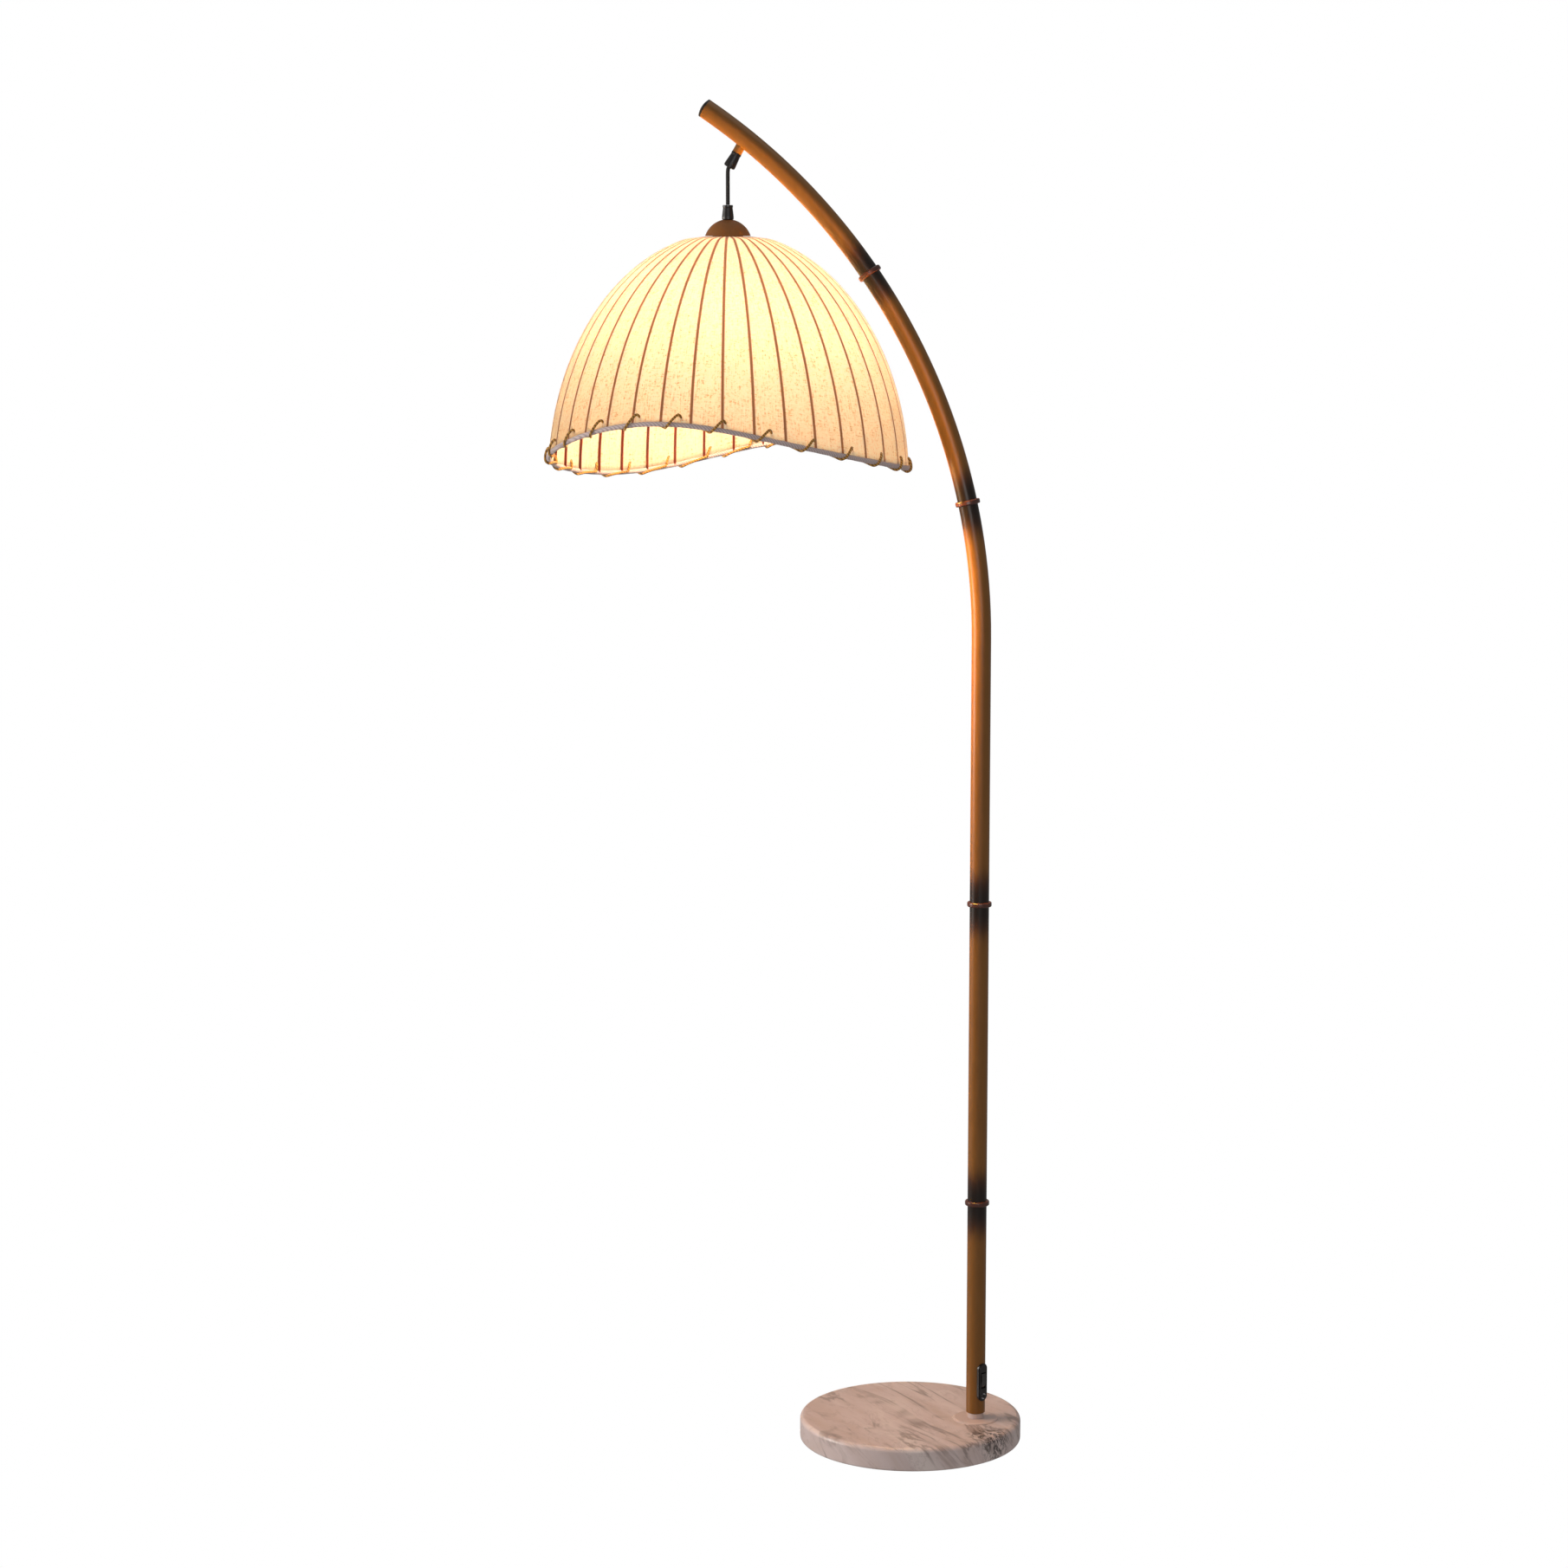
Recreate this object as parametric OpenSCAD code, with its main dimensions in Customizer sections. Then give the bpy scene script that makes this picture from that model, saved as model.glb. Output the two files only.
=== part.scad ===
// Arc floor lamp: a bamboo-style steel pole on a marble base, with a cloth dome shade on a short flex.
// Millimetres, +Z up. The origin is the middle of the base's underside; the arm reaches towards -X.

/* [Base] */
// Diameter of the marble slab
base_d = 280; // [250:1:360]
// Thickness of the marble slab
slab_h = 29.5; // [24:0.5:45]
// Rounding of the slab's upper edge
slab_top_round = 6; // [2:0.5:10]
// Rounding of the slab's lower edge
slab_low_round = 3; // [1:0.5:6]
// Thickness of the foam pad under the slab
pad_h = 1.5; // [1:0.1:4]
// Distance that the pad stays inside the slab's edge
pad_inset = 8; // [5:0.5:20]
// Distance from the middle of the base to the pole
pole_off = 84; // [60:1:95]
// Diameter of the recess for the nut
recess_d = 36; // [34:0.5:44]
// Depth of the recess for the nut
recess_h = 13; // [12:0.5:18]
// Width and height of the cable groove
groove_w = 9.2; // [8:0.1:11]
// Direction of the cable groove from the pole
groove_dir = 90; // [60:1:120]
// Length of the rubber grommet in the groove
grommet_l = 14; // [10:0.5:24]

/* [Foot] */
// Diameter of the pale foot plate
foot_plate_d = 57; // [40:0.5:80]
// Thickness of the foot plate
foot_plate_h = 1.8; // [1:0.1:4]
// Diameter of the small collar on the foot plate
foot_collar_d = 20; // [15:0.5:24]
// Height of the small collar
foot_collar_h = 6.7; // [3:0.1:15]
// Diameter of the hollow threaded stud
stud_d = 10; // [9:0.5:12]
// Bore of the hollow stud
stud_bore = 6.4; // [5.6:0.1:7]
// Length of the threaded plug in the foot of the pole
foot_insert_l = 16; // [12:0.5:17]
// Across flats of the nut under the slab
nut_flats = 17; // [16:0.5:19]
// Thickness of the nut under the slab
nut_h = 5; // [4:0.5:6]
// Diameter of the washer under the slab
washer_d = 28; // [24:0.5:32]

/* [Pole and arm] */
// Outer diameter of the tube
tube_d = 24; // [22:0.5:30]
// Wall of the tube
tube_wall = 1.2; // [1:0.1:1.5]
// Height at which the bend starts
bend_z = 1024; // [850:1:1250]
// Radius of the bend, to the middle of the tube
bend_r = 772; // [640:1:930]
// Angle of the bend at the arm's tip
tip_angle = 56.5; // [54:0.1:60]
// Height of the lowest bamboo ring
ring_4_z = 312; // [200:1:420]
// Height of the second bamboo ring
ring_3_z = 693; // [520:1:820]
// Angle round the bend of the third bamboo ring
ring_2_angle = 12.5; // [8:0.1:20]
// Angle round the bend of the upper bamboo ring
ring_1_angle = 35.2; // [26:0.1:42]
// Rise of a bamboo ring above the tube
ring_rise = 3.25; // [2:0.05:6]
// Height of a bamboo ring
ring_h = 6; // [4:0.1:9]
// Rounding of a bamboo ring's edges
ring_round = 1.6; // [0.5:0.1:1.9]
// Length of the sleeve inside each seam
coupler_l = 44; // [30:1:70]
// Wall of the sleeve inside each seam
coupler_wall = 2.6; // [1.5:0.1:3.5]
// Height of the end cap's cylindrical rim
end_rim = 2.5; // [1:0.1:5]
// Rise of the end cap's dome
end_dome = 2.9; // [1:0.1:6]

/* [Arm boss and cord grips] */
// Angle round the bend at which the boss stands
boss_angle = 52; // [50:0.1:53]
// Lean of the boss from the vertical
boss_lean = 30; // [22:0.5:38]
// Diameter of the boss
boss_d = 12; // [11:0.1:14]
// Length of the boss beyond the tube's surface
boss_out = 8.3; // [6:0.1:14]
// Length of the cord grip on the arm
arm_grip_l = 20.2; // [16:0.1:26]
// Length of the cord grip on the shade
pendant_grip_l = 18; // [17:0.1:24]
// Diameter of a cord grip's narrow end
grip_small_d = 12.6; // [12:0.1:15]
// Diameter of a cord grip's wide end
grip_large_d = 14.4; // [13:0.1:17]
// Diameter of a cord grip's clamping screw
grip_screw_d = 4; // [3:0.1:5]

/* [Cord] */
// Diameter of the flex
cord_d = 5; // [4.4:0.1:5.4]
// Drop between the flex's two bending points
cord_drop = 40; // [30:0.5:120]
// Distance from a grip's mouth to the bending point
mouth_gap = 3.1; // [3:0.1:5]

/* [Switch] */
// Direction that the switch faces
switch_dir = -37; // [-90:1:0]
// Height of the switch's middle
switch_z = 81; // [78:1:200]
// Length of the switch's face
switch_l = 49; // [44:0.5:60]
// Width of the switch's face
switch_w = 14.5; // [13.5:0.1:16]
// Distance of the switch's face in front of the tube's surface
switch_proud = 2; // [1.5:0.1:4]
// Rim of the face that overlaps the tube
switch_rim = 1; // [0.6:0.1:1.5]
// Distance of the switch's back from the middle of the tube
switch_back = 3.4; // [3.2:0.1:5]
// Width of the rocker
rocker_w = 7; // [5:0.1:8]
// Length of the rocker
rocker_l = 19; // [15:0.5:20]
// Tilt of the rocker to each side
rocker_tilt = 6; // [4:0.5:7]
// Height of the rocker's pivot above the switch's middle
rocker_up = 2.5; // [1:0.5:3]
// Diameter of the dimmer button
button_d = 4.6; // [3.5:0.1:5]
// Diameter of the chrome ring round the button
button_ring_d = 7; // [6:0.1:8]
// Depth of the dimmer button's middle below the switch's middle
button_down = 17.8; // [17:0.1:19]
// Travel of the dimmer button
button_travel = 1.2; // [0.6:0.1:1.5]

/* [Canopy and lampholder] */
// Diameter of the canopy dome
canopy_d = 56; // [52:0.5:60]
// Height of the canopy dome
canopy_h = 19.5; // [18.5:0.5:24]
// Wall of the canopy dome
canopy_wall = 1; // [0.8:0.1:1.6]
// Diameter of the lampholder's body
holder_d = 39; // [37:0.5:41]
// Length of the lampholder's body
holder_l = 36; // [33:0.5:44]
// Length of the lampholder's cap
holder_cap_l = 18; // [16:0.5:18.5]
// Diameter of the lampholder's flange
flange_d = 46; // [44:0.5:50]
// Diameter of the threaded shade ring
shade_ring_d = 57; // [52:0.5:64]
// Height of the threaded shade ring
shade_ring_h = 8; // [6:0.5:10]
// Outer diameter of the screw shell
shell_d = 28.4; // [28:0.1:29]
// Largest diameter of the bulb
bulb_d = 60; // [45:1:70]
// Length of the bulb from contact to crown
bulb_l = 108; // [95:1:130]

/* [Shade] */
// Diameter of the shade at its widest
shade_d = 447; // [380:1:460]
// Height of the dome above its widest level
dome_h = 304; // [240:1:360]
// Height of the rim's mean level above the widest level
rim_rise = 34; // [20:1:60]
// Thickness of the cloth
cloth_t = 0.8; // [0.5:0.1:1.2]
// Radius at which the flat neck meets the dome
neck_r = 52; // [40:1:70]
// Drop of the cloth across the neck
neck_h = 3; // [2:0.5:8]
// Radius of the cloth's upper edge
cloth_top_r = 26; // [25:0.5:30]
// Radius of the upper wire ring
top_ring_r = 33; // [31:0.5:40]
// Diameter of the upper and lower ring wires
ring_wire_d = 3; // [2:0.1:4]
// Number of ribs
rib_count = 36; // [12:1:48]
// Width of a rib
rib_w = 2.8; // [1.6:0.1:3.4]
// Azimuth of the first rib
rib_start = 1; // [0:0.5:10]
// Diameter of the cloth binding round the rim
binding_d = 5.6; // [5:0.1:8]
// Number of stitches in the lacing
stitch_count = 25; // [12:1:36]
// Azimuth of the first stitch
stitch_start = 7.8; // [0:0.1:14]
// Diameter of the lacing cord
lace_d = 3.2; // [2:0.1:4]

/* [Hidden] */
$fn = 96;

// The rim's waves: the height of each harmonic and the azimuth of its crest
rim_waves = [[25, -83], [21.5, -104], [3, -46.5], [3, -11.5]];

// Clearances: between touching fixed pieces, between moving pieces, and round a thread
snug = 0.05;
free = 0.3;
thread = 0.1;

bronze = [0.42, 0.27, 0.13];
black = [0.09, 0.08, 0.08];
pale = [0.86, 0.80, 0.78];

tube_r = tube_d / 2;
tube_in = tube_r - tube_wall;
ring_d = tube_d + 2 * ring_rise;
boss_reach = tube_r + boss_out;
switch_face = tube_r + switch_proud;
slab_top = pad_h + slab_h;
plate_top = slab_top + foot_plate_h;
pole_foot = plate_top + foot_collar_h;
arc_x = pole_off - bend_r;

boss_dir = [-sin(boss_lean), 0, -cos(boss_lean)];
boss_foot = [arc_x + bend_r * cos(boss_angle), 0, bend_z + bend_r * sin(boss_angle)];
arm_mouth = boss_foot + (boss_reach + arm_grip_l) * boss_dir;
swing_at = arm_mouth + mouth_gap * boss_dir;
hang_x = swing_at[0];
sway_z = swing_at[2] - cord_drop;
grip_top = sway_z - mouth_gap;
canopy_top = grip_top - pendant_grip_l;
canopy_z = canopy_top - canopy_h;
canopy_r = canopy_d / 2;
canopy_peak = canopy_h + 0.8;
canopy_ball = (canopy_r * canopy_r + canopy_peak * canopy_peak) / (2 * canopy_peak);
canopy_mid = canopy_z + canopy_peak - canopy_ball;

holder_r = holder_d / 2;
holder_top = canopy_z - 5;
holder_low = holder_top - holder_l;
holder_crown = holder_top + holder_cap_l;
flange_z = holder_top - 13;
flange_h = 3;
fitter_h = 2;
shade_ring_z = flange_z - 2 * free - fitter_h - shade_ring_h;
shell_in = shell_d / 2 - 0.5;
shell_top = holder_top - 10;
contact_h = 1.2;
bulb_tip = shell_top - contact_h - free;
bulb_low = bulb_tip - bulb_l;
bulb_neck_r = shell_in - 0.7;
bulb_cap_l = 24;
bulb_cap_low = bulb_tip - 1.6 - bulb_cap_l;

shade_r = shade_d / 2;
cloth_top = canopy_z - 0.5;
neck_angle = acos(neck_r / shade_r);
dome_z = cloth_top - neck_h - dome_h * sin(neck_angle);
rim_mean = dome_z + rim_rise;
top_ring_z = neck_z(top_ring_r) - cloth_t - ring_wire_d / 2 - snug;

function neck_z(r) = cloth_top - neck_h * (r - cloth_top_r) / (neck_r - cloth_top_r);
function wave(a, i) = rim_waves[i][0] * cos((i + 1) * (a - rim_waves[i][1]));
function rim_z(a) = rim_mean + wave(a, 0) + wave(a, 1) + wave(a, 2) + wave(a, 3);
function level(z) = asin((z - dome_z) / dome_h);
function dome_point(u, inside) = [(shade_r - inside) * cos(u), dome_z + (dome_h - inside) * sin(u)];
function rim_r(a) = dome_point(level(rim_z(a)), cloth_t / 2)[0];
function arc(x, y, r, from, to, steps) =
    [for (i = [0:steps]) let (a = from + (to - from) * i / steps) [x + r * cos(a), y + r * sin(a)]];

// A point [out, up] of a section at azimuth a, as a point in space
function turned(p, a) = [hang_x + p[0] * cos(a), p[0] * sin(a), p[1]];

// A ring of equal sections joined into one closed surface; each section's points run anticlockwise
// as seen from the next section
module closed_sweep(sections) {
    n = len(sections);
    m = len(sections[0]);
    polyhedron(
        points = [for (s = sections) for (p = s) p],
        faces = [for (i = [0:n - 1], j = [0:m - 1], half = [0, 1])
            let (i2 = (i + 1) % n, j2 = (j + 1) % m)
            half == 0 ? [i * m + j, i2 * m + j2, i2 * m + j] : [i * m + j, i * m + j2, i2 * m + j2]]);
}

module tube(outer, inner, z, h) {
    translate([0, 0, z]) difference() {
        cylinder(r = outer, h = h);
        translate([0, 0, -1]) cylinder(r = inner, h = h + 2);
    }
}

module at_pole() {
    translate([pole_off, 0, 0]) children();
}

// Moves a piece drawn at the origin to a place round the bend, with its Z along the tube
module at_arc(angle) {
    translate([arc_x, 0, bend_z]) rotate([0, -angle, 0]) translate([bend_r, 0, 0]) children();
}

// A rod bent about a centre in the XZ plane, from one angle to another
module bent_rod(x, z, bend, from, to, r) {
    translate([x, 0, z]) rotate([90, 0, 0]) rotate([0, 0, from]) rotate_extrude(angle = to - from)
        translate([bend, 0]) circle(r = r);
}

module bent_tube(from, to, outer, inner) {
    translate([arc_x, 0, bend_z]) rotate([90, 0, 0]) rotate([0, 0, from]) rotate_extrude(angle = to - from)
        translate([bend_r, 0]) difference() {
            circle(r = outer);
            circle(r = inner);
        }
}

// The boss's own frame: Z runs from the middle of the tube out along the boss
module at_boss(along) {
    translate(boss_foot + along * boss_dir) rotate([0, 180 + boss_lean, 0]) children();
}

// The switch's own frame: X points out of the pole and Z up
module at_switch() {
    translate([pole_off, 0, switch_z]) rotate([0, 0, switch_dir]) children();
}

module at_pendant(z) {
    translate([hang_x, 0, z]) children();
}

module marble_base() {
    r = base_d / 2;
    color([0.80, 0.70, 0.65]) difference() {
        rotate_extrude() polygon(concat(
            [[0, pad_h]],
            arc(r - slab_low_round, pad_h + slab_low_round, slab_low_round, -90, 0, 6),
            arc(r - slab_top_round, slab_top - slab_top_round, slab_top_round, 0, 90, 8),
            [[0, slab_top]]));
        at_pole() translate([0, 0, -1]) cylinder(d = stud_d + 1.2, h = slab_top + 2);
        at_pole() translate([0, 0, pad_h - 1]) cylinder(d = recess_d, h = recess_h + 1);
        cable_groove(groove_w);
    }
}

// The groove from the recess to the slab's edge, open below
module cable_groove(width) {
    at_pole() rotate([0, 0, groove_dir]) translate([0, -width / 2, pad_h - 1])
        cube([base_d, width, groove_w + 1]);
}

// Distance from the pole to the slab's edge along the groove
function groove_run() = let (s = pole_off * cos(groove_dir))
    -s + sqrt(s * s + base_d * base_d / 4 - pole_off * pole_off);

module base_pad() {
    color([0.25, 0.24, 0.23]) difference() {
        cylinder(d = base_d - 2 * pad_inset, h = pad_h);
        at_pole() translate([0, 0, -1]) cylinder(d = recess_d + 2, h = pad_h + 2);
    }
}

module cable_grommet() {
    r = groove_w / 2 - snug * 2;
    color(black) at_pole() rotate([0, 0, groove_dir])
        translate([groove_run() - grommet_l + 1.5, 0, pad_h + groove_w / 2]) rotate([0, 90, 0])
        difference() {
            cylinder(r = r, h = grommet_l);
            translate([0, 0, -1]) cylinder(r = r - 1.4, h = grommet_l + 2);
        }
}

washer_h = 2;

module base_washer() {
    color("silver") at_pole() tube(washer_d / 2, stud_d / 2 + thread, pad_h + recess_h - washer_h, washer_h);
}

module base_nut() {
    color("silver") at_pole() translate([0, 0, pad_h + recess_h - washer_h - nut_h]) difference() {
        cylinder(d = nut_flats / cos(30), h = nut_h, $fn = 6);
        translate([0, 0, -1]) cylinder(d = stud_d + 2 * thread, h = nut_h + 2);
    }
}

stud_low = pad_h + recess_h - washer_h - nut_h - 2;

module hollow_stud() {
    high = pole_foot + foot_insert_l - 4;
    color("silver") at_pole() tube(stud_d / 2, stud_bore / 2, stud_low, high - stud_low);
}

module foot_plate() {
    r = foot_plate_d / 2;
    bevel = foot_plate_h * 0.6;
    color(pale) at_pole() rotate_extrude() polygon([
        [stud_d / 2 + thread, slab_top], [r, slab_top], [r, plate_top - bevel],
        [r - 2 * bevel, plate_top], [stud_d / 2 + thread, plate_top]]);
}

module foot_collar() {
    r = foot_collar_d / 2;
    color(pale) at_pole() rotate_extrude() polygon([
        [stud_d / 2 + thread, plate_top], [r, plate_top], [r, pole_foot - 0.8],
        [r - 0.8, pole_foot], [stud_d / 2 + thread, pole_foot]]);
}

module foot_insert() {
    color("silver") at_pole() tube(tube_in - snug, stud_d / 2 + thread, pole_foot + 0.5, foot_insert_l);
}

module pole_section_1() {
    color(bronze) difference() {
        at_pole() rotate_extrude() polygon([
            [tube_in, pole_foot], [tube_r - 0.9, pole_foot], [tube_r, pole_foot + 0.9],
            [tube_r, ring_4_z], [tube_in, ring_4_z]]);
        at_switch() switch_outline(switch_w - 2 * switch_rim, switch_l - 2 * switch_rim, 0, tube_d);
    }
}

// An upright plate with round ends, between two distances from the pole's middle
module switch_outline(w, l, from, to) {
    translate([from, 0, 0]) rotate([90, 0, 90]) linear_extrude(to - from) union() {
        translate([-w / 2, -(l - w) / 2]) square([w, l - w]);
        translate([0, (l - w) / 2]) circle(d = w);
        translate([0, -(l - w) / 2]) circle(d = w);
    }
}

module pole_section_2() {
    color(bronze) at_pole() tube(tube_r, tube_in, ring_4_z, ring_3_z - ring_4_z);
}

module pole_section_3() {
    color(bronze) union() {
        at_pole() tube(tube_r, tube_in, ring_3_z, bend_z - ring_3_z);
        bent_tube(0, ring_2_angle, tube_r, tube_in);
    }
}

module arm_section_1() {
    color(bronze) bent_tube(ring_2_angle, ring_1_angle, tube_r, tube_in);
}

module arm_section_2() {
    color(bronze) difference() {
        bent_tube(ring_1_angle, tip_angle, tube_r, tube_in);
        at_boss(0) cylinder(d = cord_d + 2, h = boss_reach);
    }
}

// A collar of rounded section that stands round the tube, centred on the seam
module bamboo_ring() {
    r = ring_d / 2;
    half = ring_h / 2;
    color([0.33, 0.20, 0.10]) rotate_extrude() polygon(concat(
        [[tube_r + snug, -half]],
        arc(r - ring_round, -half + ring_round, ring_round, -90, 0, 5),
        arc(r - ring_round, half - ring_round, ring_round, 0, 90, 5),
        [[tube_r + snug, half]]));
}

module node_ring_1() { at_arc(ring_1_angle) bamboo_ring(); }
module node_ring_2() { at_arc(ring_2_angle) bamboo_ring(); }
module node_ring_3() { at_pole() translate([0, 0, ring_3_z]) bamboo_ring(); }
module node_ring_4() { at_pole() translate([0, 0, ring_4_z]) bamboo_ring(); }

// The sleeves across the seams, straight in the pole and bent in the arm
module straight_coupler(z) {
    low = z - coupler_l / 2;
    color("silver") at_pole() tube(tube_in - snug, tube_in - snug - coupler_wall, low, coupler_l);
}

module bent_coupler(angle) {
    half = coupler_l / 2 / bend_r * 180 / PI;
    inner = tube_in - snug - coupler_wall;
    color("silver") bent_tube(angle - half, angle + half, tube_in - snug, inner);
}

module coupler_1() { bent_coupler(ring_1_angle); }
module coupler_2() { bent_coupler(ring_2_angle); }
module coupler_3() { straight_coupler(ring_3_z); }
module coupler_4() { straight_coupler(ring_4_z); }

module arm_end_cap() {
    dome_r = (tube_r * tube_r + end_dome * end_dome) / (2 * end_dome);
    span = asin(tube_r / dome_r);
    color(black) at_arc(tip_angle) rotate_extrude() polygon(concat(
        [[0, -10], [tube_in - 4 * snug, -10], [tube_in - 4 * snug, 0], [tube_r, 0]],
        arc(0, end_rim + end_dome - dome_r, dome_r, 90 - span, 90, 8)));
}

module arm_boss() {
    color(bronze) difference() {
        at_boss(tube_in) cylinder(d = boss_d, h = boss_reach - tube_in);
        at_arc(boss_angle) cylinder(r = tube_r + snug, h = tube_d * 2, center = true);
        at_boss(0) cylinder(d = cord_d + 1.2, h = boss_reach + 1);
    }
}

// A tapered cord grip along +Z from its narrow end, with a bore for the flex and a screw hole on the +Y side
module cord_grip(length, screw_at) {
    small_r = grip_small_d / 2;
    large_r = grip_large_d / 2;
    color(black) difference() {
        rotate_extrude() polygon([
            [0, 0], [small_r - 0.5, 0], [small_r, 0.6], [small_r, 2.6], [small_r - 0.4, 3.2],
            [large_r, length - 4], [large_r, length - 1], [large_r - 1, length], [0, length]]);
        translate([0, 0, -1]) cylinder(d = cord_d + 0.6, h = length + 2);
        translate([0, 0, screw_at]) rotate([-90, 0, 0])
            cylinder(d = grip_screw_d + 2 * thread, h = grip_large_d);
    }
}

module cord_grip_screw(screw_at) {
    reach = grip_small_d / 2 + 0.4;
    color([0.2, 0.19, 0.18]) translate([0, cord_d / 2 + 0.2, screw_at]) rotate([-90, 0, 0]) difference() {
        cylinder(d = grip_screw_d, h = reach - cord_d / 2 - 0.2);
        translate([-grip_screw_d, -0.4, reach - cord_d / 2 - 1]) cube([2 * grip_screw_d, 0.8, 2]);
    }
}

module arm_grip() {
    at_boss(boss_reach) cord_grip(arm_grip_l, arm_grip_l - 9);
}

module arm_grip_screw() {
    at_boss(boss_reach) cord_grip_screw(arm_grip_l - 9);
}

module pole_cable() {
    low = stud_low - 1;
    color(black) at_pole() translate([0, 0, low]) cylinder(d = cord_d, h = bend_z - low);
}

// The flex in the arm: along the bend, round an elbow above the boss and out to the grip's mouth
elbow_r = 6;

module arm_cable() {
    turn = 180 - boss_angle - boss_lean;
    back = elbow_r * tan(turn / 2);
    back_angle = back / bend_r * 180 / PI;
    start = boss_foot + back * [sin(boss_angle), 0, -cos(boss_angle)];
    middle = start + elbow_r * [-cos(boss_angle), 0, -sin(boss_angle)];
    color(black) {
        bent_rod(arc_x, bend_z, bend_r, 0, boss_angle - back_angle - 0.002, cord_d / 2);
        bent_rod(middle[0], middle[2], elbow_r, boss_angle, boss_angle + turn, cord_d / 2);
        at_boss(back + 0.02) cylinder(d = cord_d, h = boss_reach + arm_grip_l - back - 0.22);
    }
}

module switch_housing() {
    color(black) difference() {
        union() {
            intersection() {
                switch_shell();
                at_switch() switch_outline(switch_w, switch_l, 0, tube_d);
            }
            at_switch() switch_outline(switch_w - 2 * switch_rim - 2 * snug,
                switch_l - 2 * switch_rim - 2 * snug, switch_back, switch_face - 1);
        }
        at_switch() translate([switch_back + 2, -rocker_w / 2 - free, rocker_up - rocker_room])
            cube([tube_d, rocker_w + 2 * free, 2 * rocker_room]);
        at_switch() translate([switch_back + 1, 0, -button_down]) rotate([0, 90, 0])
            cylinder(d = button_d + 2 * free, h = tube_d);
        at_switch() translate([switch_face - 1.5, 0, -button_down]) rotate([0, 90, 0])
            cylinder(d = button_ring_d + 2 * snug, h = tube_d);
        at_switch() translate([switch_back + 1, 0, rocker_up + rocker_room + 1]) module_block(0.2);
    }
}

// The part of the face plate that lies outside the tube, with a bevelled outline
module switch_shell() {
    at_switch() difference() {
        union() {
            switch_outline(switch_w, switch_l, 0, switch_face - 1);
            switch_outline(switch_w - 2, switch_l - 2, 0, switch_face);
        }
        translate([0, 0, -switch_l]) cylinder(r = tube_r + snug, h = 2 * switch_l);
    }
}

// The switch module sits in a closed pocket above the rocker
module module_block(room) {
    translate([-room, -3.4 - room, -room]) cube([6 + 2 * room, 6.8 + 2 * room, 6 + 2 * room]);
}

module switch_module() {
    color([0.15, 0.3, 0.2]) at_switch()
        translate([switch_back + 1, 0, rocker_up + rocker_room + 1]) module_block(0);
}

// The rocker's pivot lies behind the face; its opening leaves room for the corners as they swing
rocker_pivot = 9;
rocker_room = rocker_l / 2 + 0.9;

module switch_rocker() {
    half = rocker_l / 2;
    face = switch_face - rocker_pivot;
    color([0.12, 0.11, 0.11]) at_switch() translate([rocker_pivot, 0, rocker_up]) rotate([0, rocker_tilt, 0])
        rotate([90, 0, 0]) translate([0, 0, -rocker_w / 2]) linear_extrude(rocker_w) polygon([
            [-1.8, half - 0.8], [-1.8, 0.8 - half], [face - 1.4, -half], [face - 0.5, -half],
            [face + 0.7, -half * 0.6], [face + 1.1, 0], [face + 0.7, half * 0.6], [face - 0.5, half],
            [face - 1.4, half]]);
}

module dimmer_ring() {
    color("silver") at_switch() translate([0, 0, -button_down]) rotate([0, 90, 0])
        tube(button_ring_d / 2, button_d / 2 + free, switch_face - 1.5, 2.1);
}

module dimmer_button() {
    back = switch_back + 1 + button_travel + free;
    color(black) at_switch() translate([back, 0, -button_down]) rotate([0, 90, 0])
        cylinder(d = button_d, h = switch_face + 2.6 - back);
}

module pendant_cord() {
    color(black) at_pendant(sway_z) union() {
        sphere(d = cord_d);
        cylinder(d = cord_d, h = cord_drop);
        translate([0, 0, cord_drop]) sphere(d = cord_d);
    }
}

// The shade's grip has its narrow end up and a deep thread below for the nipple
module pendant_grip() {
    color(black) at_pendant(grip_top) rotate([180, 0, 180]) difference() {
        cord_grip(pendant_grip_l, pendant_grip_l - 10);
        translate([0, 0, pendant_grip_l - 7]) cylinder(d = stud_d + 2 * thread, h = 8);
    }
}

module pendant_grip_screw() {
    at_pendant(grip_top) rotate([180, 0, 180]) cord_grip_screw(pendant_grip_l - 10);
}

module holder_lead() {
    low = holder_top - 2;
    color(black) at_pendant(low) cylinder(d = cord_d, h = grip_top - 0.2 - low);
}

module canopy_cap() {
    color(bronze) at_pendant(0) difference() {
        intersection() {
            translate([0, 0, canopy_mid]) sphere(r = canopy_ball);
            translate([0, 0, canopy_z]) cylinder(r = canopy_ball, h = canopy_h);
        }
        translate([0, 0, canopy_mid]) sphere(r = canopy_ball - canopy_wall);
        translate([0, 0, canopy_z]) cylinder(d = stud_d + 2 * thread, h = canopy_h + 1);
    }
}

module lamp_nipple() {
    low = holder_crown - 7;
    color("silver") at_pendant(0) tube(stud_d / 2, stud_bore / 2, low, canopy_top + 6 - low);
}

module lock_nut() {
    color("silver") at_pendant(holder_crown) difference() {
        cylinder(d = 14 / cos(30), h = 3, $fn = 6);
        translate([0, 0, -1]) cylinder(d = stud_d + 2 * thread, h = 5);
    }
}

module holder_cap() {
    r = holder_r - 0.5;
    wall = 2.2;
    color(black) at_pendant(0) rotate_extrude() polygon([
        [stud_d / 2 + thread, holder_crown], [r - 7.5, holder_crown], [r - 2.6, holder_crown - 3.4],
        [r, holder_crown - 8], [r, holder_top], [r - wall, holder_top], [r - wall, holder_crown - 7],
        [r - 8, holder_crown - wall - 2], [stud_d / 2 + thread, holder_crown - wall - 2]]);
}

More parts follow.
